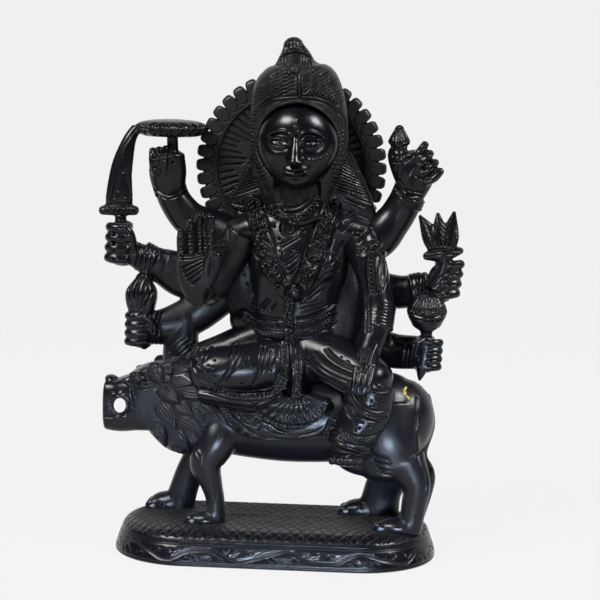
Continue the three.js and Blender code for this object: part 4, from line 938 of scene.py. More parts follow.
torsoLook = {
    "trunk": [[7.4, 1, 58, 20, 12.4], [7.4, 1, 70, 17, 11], [7.4, 1, 78, 15.8, 10.2], [7.8, 0.5, 88, 16.8, 10.2],
              [8.4, -0.5, 99, 18.6, 10.8], [8.6, 0.5, 110, 17.6, 9.4], [8.6, 1.5, 119, 9, 7.5]],
    "shoulders": [[-15, 1.5, 109, 6, 6], [-6, 1, 111.5, 7, 7.2], [8.7, 1, 113, 8, 8], [23, 1, 111.5, 7, 7.2],
                  [32, 1.5, 109.5, 6, 6]],
    "neck": [[8.7, 1, 112, 10.4, 8.4], [8.7, 0.4, 119, 8.6, 7.6], [8.8, -1, 132, 7.4, 7]],
    "mantle": [[12, 6.6, 54, 24, 6.4], [12, 7, 68, 26, 5.6], [11, 7.2, 77, 25, 5.4], [8, 7.4, 88, 27, 5.2],
               [7, 7.6, 98, 26, 5.2], [7.6, 7.4, 111, 24, 5.2], [8.4, 6.6, 118, 28.5, 4.6], [8.8, 6.4, 128, 24.5, 5],
               [8.8, 6, 141, 18.4, 7]],
    "blessingArm": [[-12.6, 0.6, 109.4, 7.4, 7], [-17, 0.6, 101.6, 7.2, 7], [-21.4, 0.8, 93, 6.4, 6.4],
                    [-25, -1, 86, 5.2, 5.4]],
    "restingArm": [[30, 1, 110, 6.8, 6.5], [34.5, -2.5, 101, 6.6, 6.3], [37.8, -6, 91, 6, 6], [39.4, -9, 82, 5.8, 5.6],
                   [38, -13, 74, 5.2, 5], [36, -16.4, 67, 4.6, 4]],
}


def bodiceStrokes():
    # Strokes as they are seen from the front, in squares of the sheet
    s = Sheet(195, 140, 400, 352)
    # hair and shawl beside the head
    s.between([(246, 150), (240, 156), (236, 163)], [(258, 187), (236, 194), (204, 202)], 15, width=1.1, depth=0.55,
              taper=0.3)
    s.between([(343, 152), (349, 158), (353, 165)], [(336, 190), (358, 196), (386, 203)], 13, width=1.0, depth=0.4,
              taper=0.3)
    s.between([(252, 168), (256, 176)], [(262, 188), (266, 198)], 3, width=0.9, depth=0.4)
    # shoulder hem on the left, with its beads and strokes
    s.cuts([[(206, 207), (222, 208), (246, 213)], [(208, 200), (226, 203), (246, 206)]], width=1.1, depth=0.5, taper=0)
    s.beads([(208, 204.5), (226, 206), (246, 210)], 4.2, 1.2, 0.4)
    s.cuts([[(214, 197), (240, 193)], [(210, 201), (232, 198.5)], [(330, 205), (332, 216), (330, 228)]], width=1.0,
           depth=0.4)
    # collar: two plain bands, then a row of beads
    s.band([(257, 201), (266, 211), (279, 217), (291, 218.5), (303, 215), (313, 206), (318, 199)], 2.6, 0.3)
    s.cuts([[(260, 196), (268, 206), (280, 212), (291, 213.5), (302, 210.5), (311, 203), (315, 197)],
            [(262, 192), (270, 201), (281, 206.5), (291, 208), (301, 205), (309, 198)]], width=1.0, depth=0.45, taper=0)
    s.beads([(257, 201), (266, 211), (279, 217), (291, 218.5), (303, 215), (313, 206), (318, 199)], 4.0, 1.7, 0.5)
    # round pendant
    s.bead(289.4, 227.5, 6.2, 0.35, 1.4)
    s.cut([(289.4 + 3.6 * np.cos(a), 227.5 + 3.6 * np.sin(a)) for a in np.linspace(0.4, 5.9, 12)], 1.0, 0.6, 0)
    s.bead(289.4, 227.5, 1.6, 0.5, 0.4)
    # strokes and dots between the garlands
    s.cuts([[(280, 244.5), (297, 235.5)], [(282, 247), (299, 237.5)], [(285, 262), (297.5, 252.5)],
            [(286.5, 265), (298.5, 255.5)], [(288, 270), (298, 262)], [(288.5, 275), (297, 268)]], width=1.05,
            depth=0.55, taper=0.3)
    s.dots([(273.8, 226.5), (278.8, 239), (293, 249), (282, 253.5), (303, 231)], 1.1, 0.65)
    # garlands: raised bands filled with beads and leaves, a flower on each
    left = [(253, 203), (257, 217), (261.5, 232), (265.5, 248), (271, 264), (277.5, 277), (286, 289)]
    right = [(330, 203), (327, 218), (322, 233), (316.5, 248), (311, 264), (305, 279), (299, 290)]
    for line, seed in ((left, 3), (right, 8)):
        s.band(line, 8.6, 0.9, 1.1)
        s.pebbles(line, 6.4, 48, 2.0, 0.55, seed)
        edge = np.asarray(spline(line, 30)[0])
        s.cuts([edge + [-9.8, -1.5], edge + [9.8, 1.5]], width=1.1, depth=0.45, taper=0)
    s.flower(263.5, 251, 7.4, 8, 0.75)
    s.flower(315.5, 254, 8.4, 8, 0.75)
    s.flower(258.5, 224, 4.6, 6, 0.6)
    s.flower(324.5, 229, 5.2, 6, 0.6)
    s.flower(273.5, 272, 4.4, 6, 0.6)
    s.flower(307.5, 275, 4.6, 6, 0.6)
    s.bead(294.5, 292.5, 6.4, 0.8, 1.0)
    s.cuts([[(290.5, 292), (294, 289.6), (298.5, 291.5)], [(291, 295), (295, 296.5), (298.5, 294.5)]], width=0.9,
           depth=0.5)
    strand = [(290, 299), (288.6, 312), (288.8, 326), (290, 340)]
    s.band(strand, 4.8, 1.0, 1.0)
    s.pebbles(strand, 3.0, 20, 2.0, 0.5, 5)
    # bodice: double edge on the left, smooth side, dots
    s.cuts([[(245.5, 237), (248, 248), (253.5, 262)], [(249.5, 236), (252, 248), (257, 260)]], width=1.1, depth=0.45,
           taper=0.3)
    s.dots([(248, 252.5), (245, 275), (247.5, 283), (339, 252), (328, 268)], 1.0, 0.5)
    s.cuts([[(334, 238), (330, 250), (324, 262)], [(343, 242), (337, 257), (328, 268)],
            [(320, 280), (330, 273), (339, 270)]], width=1.0, depth=0.4)
    # shoulder on the right
    s.cuts([[(344, 214.5), (354, 211)], [(345, 217.5), (356, 213.5)], [(345, 222.5), (355, 217.5)],
            [(341, 232), (349, 227)]], width=1.0, depth=0.45)
    # Painted shade: the recesses between the arms and the trunk, the neck under the chin, and a fold at the left
    # shoulder
    s.darken([(229, 232), (231, 255), (233, 278), (232, 300)], 9, 1.4)
    s.darken([(345, 258), (345, 290), (342, 330)], 7.5, 1.3)
    s.darken([(268, 194), (280, 199), (292, 201), (306, 199), (318, 193)], 6, 1.1)
    s.darken([(272, 186), (292, 190), (312, 185)], 8, 1.4)
    s.darken([(249, 200), (244, 208)], 4, 0.6)
    s.cuts([[(349, 195), (371, 204)], [(346, 199), (366, 208)], [(350, 191), (377, 201)]], width=1.0, depth=0.4)
    # waist: paired strokes, then the belt of beads between lines
    s.cuts([[(259.5, 307.5), (267.5, 298.5)], [(262, 309.5), (270, 300.5)], [(271, 310), (276, 303)],
            [(306, 296), (322, 284)], [(308, 300), (326, 288)], [(252, 303), (254, 293)]], width=1.05, depth=0.5,
            taper=0.3)
    s.band([(252, 316), (262, 321), (276, 324)], 2.4, 0.55)
    s.cuts([[(243, 308), (256, 314.5), (271, 318.5), (283, 320)], [(297, 319), (313, 315), (328, 309), (337, 302)]],
           width=1.2, depth=0.6, taper=0)
    for down in (0, 8):
        s.cuts([[(244, 320 + down), (258, 327 + down), (272, 330 + down), (283, 331 + down)],
                [(296, 329 + down), (311, 326 + down), (326, 320 + down), (336, 314 + down)]], width=1.0, depth=0.5,
                taper=0)
        s.beads([(245, 316 + down), (258, 323 + down), (272, 326.5 + down), (283, 327.5 + down)], 3.8, 1.4, 0.45)
        s.beads([(296, 325 + down), (311, 322 + down), (326, 316 + down), (336, 310 + down)], 3.8, 1.4, 0.45)
    s.between([(300, 304), (318, 300)], [(302, 313), (330, 305)], 3, width=0.9, depth=0.35)
    return s


def bodice(look):
    # Limbs for trunk, shoulders, neck and mantle; pleats on the back are bells of a wave across it
    forms = [limb(look["trunk"], sides=64), limb(look["shoulders"], sides=40, ends=(1, 1)),
             limb(look["neck"], sides=40),
             limb(look["mantle"], sides=64, square=3),
             limb([[7.6, 0.6, 71.4, 17.6, 12], [7.6, 0.6, 74.6, 16.8, 11.4]], sides=64)]
    forms += [egg(x, -6.8, 99, 7.2, 5.6, 7) for x in (1.2, 16.4)]
    # shawl gathered behind the waist and inside the elbows
    forms += [limb([[-14, 4.5, 108, 8, 6], [-14, 5, 92, 9, 5.6], [-8, 4, 80, 10, 6], [-3, 3, 72, 9, 7]], sides=36),
              limb([[30, 4.5, 108, 8, 6], [29, 4, 92, 8.4, 5.6], [27, 2, 78, 9, 6.4], [25, 0, 68, 9, 7]], sides=36)]
    forms += [egg(-9, 3, 76, 9, 6, 8), egg(-6, 2, 70, 9, 6, 7)]
    forms.append(limb([[0.4, -3, 121, 1.6, 1.4], [2.2, -7, 117.4, 1.6, 1.4], [8.7, -9, 115, 1.8, 1.6],
                       [15.2, -7, 117.4, 1.6, 1.4], [17, -3, 121, 1.6, 1.4]], sides=16))

    def pleats(p, n):
        # A groove wherever the wave across the back passes a whole number, on faces that look back
        place = np.mod((p[:, 0] - 9) * 0.16 * (1 + 0.004 * p[:, 2]) + 0.5, 1) - 0.5
        return -0.3 * np.exp(-(place / 0.1) ** 2) * step(0.5, 0.8, n[:, 1])

    shine = lambda p, n: 0.9 - 0.4 * step(8, 12, p[:, 1])
    return makePiece("bodice", forms, bodiceStrokes(), pleats, rounds=3, polish=shine)


def raisedArm(look):
    # Limbs for arm, palm, four fingers and thumb, and hoops for the bangles
    forms = [limb(look["blessingArm"], sides=36),
             limb([[-25.8, 2, 86.2, 5.2, 5.4], [-27.8, -8, 87.4, 4.8, 4.6], [-28.6, -15, 89.6, 4.6, 4.4]],
                                                       facing=(0, 0, 1)),
             limb([[-26.4, -15.6, 84.4, 1.6, 1.8], [-28.2, -16, 88.6, 4.6, 3], [-28.6, -16.8, 95, 6.8, 3],
                   [-28.3, -17.4, 103, 7.2, 2.6]],
                  square=2.6, sides=40, ends=(1, 0))]
    for i, top in enumerate((112.6, 116.4, 118.4, 118)):
        x = -33.8 + i * 3.6
        forms.append(limb([[x + 0.6, -17.4, 100, 1.75, 2.3], [x, -17.8, (102 + top) / 2, 1.75, 2.3],
                           [x + 0.2, -18, top - 1, 1.6, 2]],
                          square=2.6, ends=(0, 1), sides=24))
    forms.append(limb([[-24.6, -16.4, 91, 2.4, 2.6], [-21.4, -17.2, 98, 2.3, 2.5], [-20.6, -17.8, 103, 1.8, 2]],
                      ends=(0, 1)))
    forms += hoops([-28, -9.4, 87.8], [-0.1, -1, 0.2], 5.4, 5.2)
    forms += hoops([-18.8, 2, 101], [-0.35, 0, -1], 6.2, 6.2, 2, 2, 0.9)
    s = Sheet(172, 195, 262, 300)
    # between the fingers, and the lines of the knuckles
    s.cuts([[(185.5, 222), (185, 238), (185.4, 253)], [(194.8, 214), (194.6, 234), (195, 253)],
            [(203.4, 213), (203.2, 234), (203.6, 252)]],
           width=1.3, depth=0.9, taper=0)
    for v in (231, 234, 239, 242, 246.5, 249.5):
        for u0, u1 in ((180, 184), (187, 193.4), (196.4, 202), (204.8, 209)):
            s.cut([(u0, v + 1), (u1, v)], 0.85, 0.4, 0)
    s.cuts([[(180, 256.5), (193, 255.5), (206, 252)], [(180, 259.5), (193, 258.5), (206, 255)]], width=0.95, depth=0.45,
           taper=0)
    s.between([(181.5, 268), (202, 258.5)], [(187.5, 281), (202.5, 270)], 4, width=1.15, depth=0.55, taper=0.2)
    s.cuts([[(192, 284), (201, 277)], [(206.5, 252), (204, 262), (203, 275)]], width=1.1, depth=0.5)
    # sleeve: paired strokes, dots, hem
    s.cuts([[(211, 225.5), (220.5, 219.5)], [(212, 229.5), (222.5, 222.5)], [(213.5, 234), (223, 227.5)],
            [(213.5, 242.5), (227, 241)], [(214, 249), (228, 247.5)]], width=1.05, depth=0.5)
    s.dots([(215.6, 221.5), (219, 231)], 1.1, 0.6)
    s.beads([(214, 246), (228, 244.5)], 3.6, 1.3, 0.45)
    # Painted shade in the recess between the forearm and the trunk
    s.darken([(232, 240), (229, 262), (222, 285)], 10, 1.3)
    s.cuts([[(226, 219), (228, 229), (228.5, 240)], [(211, 258), (209.5, 268), (208, 276)], [(214, 262), (212, 272)]],
           width=1.0, depth=0.35)
    return makePiece("raisedArm", forms, s)


def restingArm(look):
    # Limbs for arm, hand and fingers, and hoops for the bangles
    forms = [limb(look["restingArm"], sides=40),
             limb([[36.4, -16.4, 69, 4.2, 3.2], [35.6, -20.4, 60.5, 5, 2.6]], sides=32)]
    forms += hoops([34.6, -1.8, 102.8], [0.4, -0.3, -0.9], 6.8, 6.6, 2, 3.4, 0.8)
    forms += hoops([39.6, -9.6, 80.6], [-0.1, -0.45, -1], 5.9, 5.6, 8, 1.25, 0.55)
    for n in (-1.5, -0.5, 0.5, 1.5):
        forms.append(limb([[35.6 + n * 2.3, -20.6, 63, 1.2, 2], [34.8 + n * 2.1, -23.4, 57.5, 1.15, 1.9],
                           [34 + n * 1.9, -24.4, 53 + abs(n), 1.0, 1.5]], ends=(0, 1), sides=16))
    s = Sheet(335, 200, 402, 400)
    # armlet: a slanting jewelled strip
    s.cuts([[(351, 229), (359, 221), (367, 215)], [(358, 242), (366, 234), (374, 226)]], width=1.2, depth=0.6, taper=0)
    s.beads([(355.5, 235), (362.5, 228), (370, 220.5)], 5.6, 2.2, 0.5, 0.8)
    s.dots([(355.6, 235.3), (360, 231), (364.6, 226.4)], 0.8, 0.4)
    s.between([(360, 248), (372, 240)], [(358, 254), (368, 247)], 3, width=0.95, depth=0.4)
    # a column of beads beside a leaf
    column = [(378, 244), (372.5, 250), (370.6, 262), (371, 276), (372.3, 292)]
    s.cuts([[(376, 240), (368.5, 248), (366.6, 262), (367, 276), (368.5, 294)],
            [(381, 248), (376.5, 254), (374.8, 264), (375, 278), (376, 293)]],
           width=1.0, depth=0.5, taper=0)
    s.band(column, 3.0, 0.35)
    s.beads(column, 4.3, 1.9, 0.45, 0.8)
    s.cuts([[(382, 252), (386.5, 262), (387, 276), (381.5, 292)], [(380.5, 262), (378.6, 274), (379.5, 288)],
            [(383.6, 264), (383.4, 276), (381, 288)]],
           width=1.1, depth=0.5, taper=0.2)
    s.band([(384.6, 260), (384.8, 273), (382, 286)], 1.7, 0.5)
    # forearm and its band
    s.cuts([[(366, 296), (365.5, 314), (366.5, 332)], [(370, 297), (369.5, 314), (370.5, 332)]], width=0.9, depth=0.45,
           taper=0)
    s.beads([(368, 297), (367.5, 314), (368.5, 332)], 3.6, 1.0, 0.35)
    # fingers
    s.between([(361, 350), (358, 361), (359.5, 371)], [(371, 350), (369, 362), (365, 373)], 4, width=1.1, depth=0.5,
              taper=0.2)
    s.between([(361.5, 352), (370, 349)], [(359, 364), (367, 366)], 4, width=0.8, depth=0.35)
    s.cuts([[(376, 344), (371, 355), (369, 367)]], width=1.3, depth=0.6)
    return makePiece("restingArm", forms, s)


crownLook = {
    "dome": [[8.6, 2.6, 116, 9.6, 7], [8.4, 2.4, 124, 12, 8], [8.2, 2.2, 130, 15, 9.2], [7.9, 2, 137, 17.4, 10.8],
             [7.6, 1.8, 145, 18.5, 12], [7.3, 1.6, 153, 18.4, 12.4], [7, 0.8, 159.5, 17.6, 12.8],
             [6.6, 0.6, 165, 16.4, 13.6], [6.2, 0.6, 169.4, 14.4, 12.2], [5.9, 0.6, 172.2, 11.2, 10],
             [5.8, 0.6, 173.4, 7.8, 7.4], [5.5, 0.6, 176.4, 6, 5.8], [4.9, 0.6, 180, 3.8, 3.8]],
    "face": (7.7, -2.8, 143.2),
    "opening": (14.7, 15.7),
    "jaw": 0.17,  # how much narrower the opening and the face are at the chin
}


def oval(angle, halfX, halfZ):
    # Half width times cos a, drawn in below, and half height times sin a
    return halfX * np.cos(angle) * (1 - crownLook["jaw"] * step(0.1, -1, np.sin(angle))), halfZ * np.sin(angle)


def crownStrokes():
    # Strokes as they are seen from the front, in squares of the sheet
    s = Sheet(240, 28, 365, 205)
    s.between([(250, 128), (260, 132)], [(254, 184), (265, 180)], 13, width=1.1, depth=0.5, taper=0.3)
    s.between([(346, 128), (336, 132)], [(343, 186), (331, 182)], 13, width=1.1, depth=0.5, taper=0.3)
    # Painted shade over the front of the dome, darker than the light on top leaves it
    s.darken([(262, 104), (290, 84), (326, 104)], 24, 0.6)
    ring = dict(width=1.1, depth=0.55, taper=0)
    s.cuts([[(285, 51.5), (295, 49), (304, 50.5), (308, 53)],
            [(281, 57), (287, 54.5), (295, 53), (305, 54.5), (311.5, 58)]], **ring)
    s.band([(283, 54), (291, 51.6), (299, 51), (310, 55)], 1.2, 0.3)
    s.cuts([[(288.5, 48), (289.5, 39)], [(293, 47), (293.3, 37.5)], [(296.5, 47), (296.8, 38)],
            [(300.5, 48.5), (299.8, 40)], [(285, 50), (286, 43)], [(304, 50.5), (303, 44)]], width=1.0, depth=0.5)
    s.between([(287, 57.5), (294, 55.8), (300, 56.5)], [(287, 65), (294, 63.5), (300, 64)], 5, width=0.75, depth=0.4,
              taper=0)
    s.cuts([[(303, 57), (304, 66)], [(306, 58), (307.5, 67)], [(309.5, 59), (311.5, 67.5)], [(283, 58.5), (280, 65)],
            [(280.5, 60), (277, 66)]],
           width=0.9, depth=0.45)
    s.bead(294.4, 69.6, 3.6, 0.6, 0.8)
    s.dots([(294.4, 69.8)], 1.5, 0.9)
    # ridge on the middle, and leaves that sweep out from it
    s.cuts([[(297.3, 75), (297.8, 90), (297.6, 104)], [(301, 76), (301.4, 90), (301, 104)]], width=1.0, depth=0.55,
           taper=0)
    leaf = dict(width=1.2, depth=0.55, taper=0.45)
    for k in range(5):
        out = 8.2 * k
        for v in np.arange(74 if k == 0 else 68 + 0.017 * out**2, 93 + 0.006 * out**2, 3.9):
            u = 294 - out  # left: short curved leaves in columns that follow the dome
            s.cut([(u, v + 0.4 * k), (u - 3.6, v + 0.6 + 0.7 * k), (u - 7.0, v + 3.6 + k)], **leaf)
            u = 304 + out  # right: strokes that fan upwards
            s.cut([(u, v + 3 + k), (u + 3.6, v + 0.4 + k), (u + 7.4, v - 3.0 + 1.5 * k)], **leaf)
    # beads over the rim, the rim's lines
    s.beads([(258, 106), (266, 98.5), (276, 94), (287, 92)], 3.6, 1.3, 0.5)
    s.beads([(310, 92), (321, 93.5), (331, 98), (340, 105)], 3.6, 1.3, 0.5)
    s.cuts([[(255, 116), (262, 105), (272, 98.5), (286, 96.5), (297, 96)],
            [(303, 96), (316, 96.5), (329, 101), (338, 109), (344, 118)],
            [(254, 122), (260, 110.5), (271, 102.5), (286, 100), (300, 99.5), (316, 100.5), (330, 105.5), (339, 114)]],
            width=1.0, depth=0.45, taper=0)
    # Painted shade in the recesses where the hood's sides meet the neck
    s.darken([(262, 175), (268, 190), (270, 205)], 4, 0.7)
    s.darken([(336, 172), (329, 188), (325, 202)], 4, 0.7)
    # bead string down the side of the face
    s.beads([(254.5, 112), (251.5, 128), (251.5, 150)], 3.4, 1.2, 0.45)
    s.cuts([[(257.5, 116), (255, 130), (255.2, 152)], [(345, 118), (346, 134), (344, 152)],
            [(341.5, 120), (342.5, 136), (341, 152)], [(256, 150), (259, 162), (265, 176)],
            [(260, 160), (265, 170), (270, 180)], [(341, 155), (338, 165), (332, 177)],
            [(346, 150), (343, 163), (337, 176)]], width=1.0, depth=0.45, taper=0)
    return s


def crown(look):
    # A turned limb for the dome, a rim along the oval, and the oval tunnel that the face sits in cut out
    x, y, z = look["face"]
    halfX, halfZ = look["opening"]
    forms = [limb(look["dome"], sides=96, ends=(0, 1), cap=0.85), egg(x - 1.8, -9.6, 170.4, 2.2, 2.4, 2.2)]
    across, up = oval(np.radians(np.linspace(-64, 244, 40)), halfX + 0.9, halfZ + 0.9)
    front = 1.4 - 13.2 * np.sqrt(np.clip(1 - (across / 18.3) ** 2, 0, 1)) - 1.2 * step(6, 15, up)
    forms.append(limb(np.stack([x + across, front + 0.4, z + up, 0.55 + 0 * up, 0.9 + 0 * up], 1), sides=16, step=0.5))
    across, up = oval(np.linspace(0, 2 * np.pi, 120, endpoint=False), halfX, halfZ)
    tunnel = skin(np.stack([np.stack([x + across, y0 + 0 * up, z + up], 1) for y0 in (-30, 3)]))
    throat = limb([[x, -30, 127, 9.4, 12], [x, -2, 127, 9, 12]], sides=48, facing=(0, 0, 1))

    def behind(p, n):
        # rows of upright leaves round the sides and back: a cut wherever the turn meets a row's own count
        turn = np.arctan2(p[:, 0] - 8, p[:, 1] - 0.6)
        rowNo = np.floor((p[:, 2] - 132) / 6.2)
        share = (p[:, 2] - 132) / 6.2 - rowNo
        leaf = np.abs(np.mod(turn * 17 / (2 * np.pi) + 0.5 * np.mod(rowNo, 2), 1) - 0.5)
        outline = np.exp(-((leaf - 0.47 * np.sqrt(np.clip(1 - (1 - share) ** 1.6, 0, 1))) / 0.07) ** 2)
        rib = np.exp(-(leaf / 0.05) ** 2) * (share < 0.75)
        back = step(-0.35, 0.1, n[:, 1]) * step(131, 133, p[:, 2]) * (1 - step(170, 171, p[:, 2]))
        return -0.42 * np.maximum(outline, 0.6 * rib) * back

    return makePiece("crown", forms, crownStrokes(), behind, cuts=[tunnel, throat], rounds=2, polish=0.7)


faceLook = {
    "half": (15.5, 13.8, 16.8),
    "eyes": (6.0, 1.4, 3.6),  # half the distance between them, height and half width, mm from the middle
    "brow": 4.3, "noseTip": -4.4, "mouth": -8.4, "chin": -13.0,
}


def face(look):
    # An egg pushed out along its normals by a sum of bells: nose, lids, lips, cheeks and chin in even thirds
    x0, y0, z0 = crownLook["face"]
    halfX, halfY, halfZ = look["half"]
    spread = lambda t: np.pi * np.sign(t) * (0.62 * np.abs(t) + 0.38 * np.abs(t) ** 3)
    a = spread(np.linspace(-1, 1, 420, endpoint=False))[None]
    b = np.linspace(-1.5, 1.5, 400)[:, None]
    bow = lambda v, power: np.sign(v) * np.abs(v) ** power
    across, z = oval(b, halfX, halfZ)
    x, z = across * np.abs(np.cos(b)) ** -0.1 * np.sin(a), z + 0 * a
    y = -halfY * bow(np.cos(b), 0.66) * bow(np.cos(a), 0.85)
    m = np.abs(x)
    bell = lambda u, v, cu, cv, su, sv: np.exp(-(((u - cu) / su) ** 2) - ((v - cv) / sv) ** 2)
    apart, eyeZ, eyeHalf = look["eyes"]
    e = (m - apart) / eyeHalf
    arch = np.clip(1 - e**2, 0, 1)
    upper, lower = eyeZ + 1.45 * arch ** 0.7 + 0.25 * e, eyeZ - 0.8 * arch ** 0.8 + 0.25 * e
    inEye = step(-0.25, 0.25, upper - z) * step(-0.25, 0.25, z - lower) * (np.abs(e) < 1.02)
    near = (np.abs(e) < 1.12)
    h = -2.1 * bell(m, z, apart - 0.4, eyeZ + 0.9, 4.2, 2.7)
    h += 1.7 * np.sqrt(np.clip(1 - ((m - apart) / 4.0) ** 2 - ((z - eyeZ - 0.2) / 2.9) ** 2, 0, 1))
    h += near * (0.62 * np.exp(-((z - upper - 0.3) / 0.42) ** 2)
                 + 0.42 * np.exp(-((z - lower + 0.3) / 0.36) ** 2)) - 0.42 * inEye
    iris = np.hypot(m - apart, z - eyeZ - 0.3)
    h -= inEye * (0.2 * np.exp(-((iris - 1.05) / 0.2) ** 2) + 0.3 * np.exp(-((iris / 0.42) ** 2)))
    h -= near * 0.3 * np.exp(-((z - upper - 1.25 + 0.1 * e) / 0.26) ** 2)
    t = np.clip((m - 1.9) / 8.6, 0, 1)
    browLine = look["brow"] + 1.75 * np.sin(np.pi * t ** 0.8) - 0.5 * t
    along = step(1.5, 2.4, m) * (1 - step(9.4, 10.8, m))
    h += along * (0.75 * np.exp(-((z - browLine) / (0.75 - 0.35 * t)) ** 2)
                  - 0.25 * np.exp(-((z - browLine + 0.95 - 0.3 * t) / 0.3) ** 2))
    tip = look["noseTip"]
    rise = np.clip((look["brow"] - 0.6 - z) / (look["brow"] - 0.6 - tip), 0, 1)
    width = 1.45 + 0.95 * rise ** 1.5
    bridge = (0.5 + 2.6 * rise ** 1.15) * np.exp(-(np.abs(x / width) ** 2.6))
    h += bridge * step(tip - 1.7, tip - 0.4, z) * (1 - step(look["brow"] - 2, look["brow"] + 1.2, z))
    h += 0.7 * bell(x, z, 0, tip, 1.35, 1.2) + 1.15 * bell(m, z, 2.0, tip - 0.5, 0.95, 0.95)
    h -= 0.7 * bell(m, z, 1.05, tip - 1.75, 0.5, 0.35)
    h += 0.95 * bell(m, z, 7.6, -3.6, 3.6, 3.6) + 0.35 * bell(x, z, 0, 9.5, 7, 4)
    mouth = look["mouth"] + 0.28 * (m / 4) ** 2
    wide = np.clip(1 - (m / 4.1) ** 2, 0, 1)
    h += 1.2 * bell(x, z, 0, look["mouth"], 4.6, 2.4)
    h += 0.75 * wide ** 0.5 * np.exp(-((z - mouth - 0.75 * wide ** 0.6 + 0.3 * np.exp(-((x / 0.7) ** 2))) / 0.62) ** 2)
    h += 0.95 * wide ** 0.7 * np.exp(-((z - mouth + 0.95 * wide ** 0.5) / 0.72) ** 2)
    h -= (0.75 * step(0, 0.12, wide) * np.exp(-((z - mouth) / 0.24) ** 2)
          + 0.35 * bell(m, z, 4.3, mouth.mean(), 0.5, 0.6))
    h -= 0.28 * bell(x, z, 0, look["mouth"] + 2.0, 0.55, 0.8)
    h -= 0.65 * bell(x, z, 0, look["mouth"] - 2.6, 3.0, 0.85)
    h += 1.25 * bell(x, z, 0, look["chin"], 3.2, 2.2)
    # ornaments: mark on the forehead, ring at the nose and the bead string that holds it
    dome = lambda cx, cz, r, k: k * np.sqrt(np.clip(1 - ((x - cx) ** 2 + (z - cz) ** 2) / r**2, 0, 1))
    h += dome(0, 7.2, 0.85, 0.6) - 0.25 * np.exp(-((np.hypot(x, z - 7.2) - 1.15) / 0.22) ** 2)
    h += 0.3 * np.exp(-((x / 0.3) ** 2)) * step(8.2, 8.6, z) * (1 - step(10.2, 10.8, z))
    h += 0.55 * np.exp(-((np.hypot(x - 3.9, (z - tip + 1.1)) - 1.75) / 0.4) ** 2)
    for k in range(6):
        h += dome(6.5 + 1.25 * k, tip + 0.1 + 0.25 * k + 0.04 * k * k, 0.5, 0.4)
    front = step(0.05, 0.35, np.cos(a)) * step(0.0, 0.25, np.cos(b))
    points, tris = skin(np.stack([x, y, z], 2))
    normals = normalsOf(points, tris)
    points = points + normals * np.r_[(h * front).ravel(), 0, 0][:, None]
    return carvePiece("face", points + [x0, y0, z0], tris, polish=1.0)


haloLook = {"x": 3.6, "y": 14.0, "z": 133.8, "radius": 33.6, "knob": 2.9, "knobs": 40, "thickness": 4.5, "field": 28.2,
            "dish": 1.6}


def halo(look):
    # Rings round the axis: out across the front, over the knobbed edge and back in behind. A knob is a bulge of the
    # edge's radius; tongues are arcs between a ring's inner and outer radius; rays are bells of the distance to a
    # spoke.
    turn = np.linspace(0, 2 * np.pi, 1300, endpoint=False)
    place = np.mod(turn * look["knobs"] / (2 * np.pi) + 0.5, 1) - 0.5
    knob = look["knob"] * np.clip(1 - (np.abs(place) / 0.44) ** 4, 0, 1) ** 0.5
    half = look["thickness"] / 2
    inner = np.linspace(0.4, look["field"], 80)
    band = np.linspace(look["field"] + 0.25, look["radius"], 24)
    front = [(r, -half + look["dish"] * (1 - 0.35 * (r / look["field"]) ** 2), 0) for r in inner]
    front += [(r, -half, 0) for r in band]
    edge = [(look["radius"] - 0.5 + 0.5 * np.sin(a), -half * np.cos(a), np.sin(a))
            for a in np.linspace(0.3, np.pi - 0.3, 16)]
    back = [(r, half, 0) for r in np.linspace(look["radius"] - 0.6, 0.4, 40)]
    rows = np.array(front + edge + back)
    r, y, out = (rows[:, k:k + 1] for k in range(3))
    reach = r + np.where(out > 0, knob[None] * out ** 0.45, 0)
    bell = lambda gap, width: np.exp(-((gap / width) ** 2))
    onBand = (y < 0) * (out == 0) * (r > look["field"])
    # tongues: half circles in a row, their round ends inwards
    tongue = np.hypot(place * 5.2, (r - look["field"] - 3.6))
    start = look["field"] + 3.8
    arcs = 0.42 * np.where(r < start, bell(tongue - 2.3, 0.26), bell((np.abs(place) - 0.45) * 5.2, 0.26))
    rings = 0.45 * bell(r - look["field"] - 0.6, 0.3)
    # rays: short curved cuts that run in from the band
    spoke = np.mod(turn * 62 / (2 * np.pi) + 0.03 * (look["field"] - r) + 0.12 * np.sin(turn * 9) + 0.5, 1) - 0.5
    length = 9.5 + 2.5 * np.sin(turn * 13)
    inside = step(look["field"] - length, look["field"] - length + 1.5, r) * (r < look["field"] - 0.8) * (y < 0)
    rays = 0.8 * bell(spoke * 2 * np.pi * r / 62, 0.36) * inside
    behind = (y > 0) * (out == 0) * (0.3 * bell(r - 31, 0.35) + 0.25 * bell(r - 18, 0.35))
    y = (y + onBand * (arcs + rings) + rays * (out == 0) - behind
         + 0.18 * np.sin(turn * 5) * np.exp(-((r - 20) / 9) ** 2))
    points, tris = skin(np.stack([look["x"] + reach * np.cos(turn), look["y"] + y, look["z"] + reach * np.sin(turn)],
                                 2))
    return carvePiece("halo", points, tris, polish=0.22)


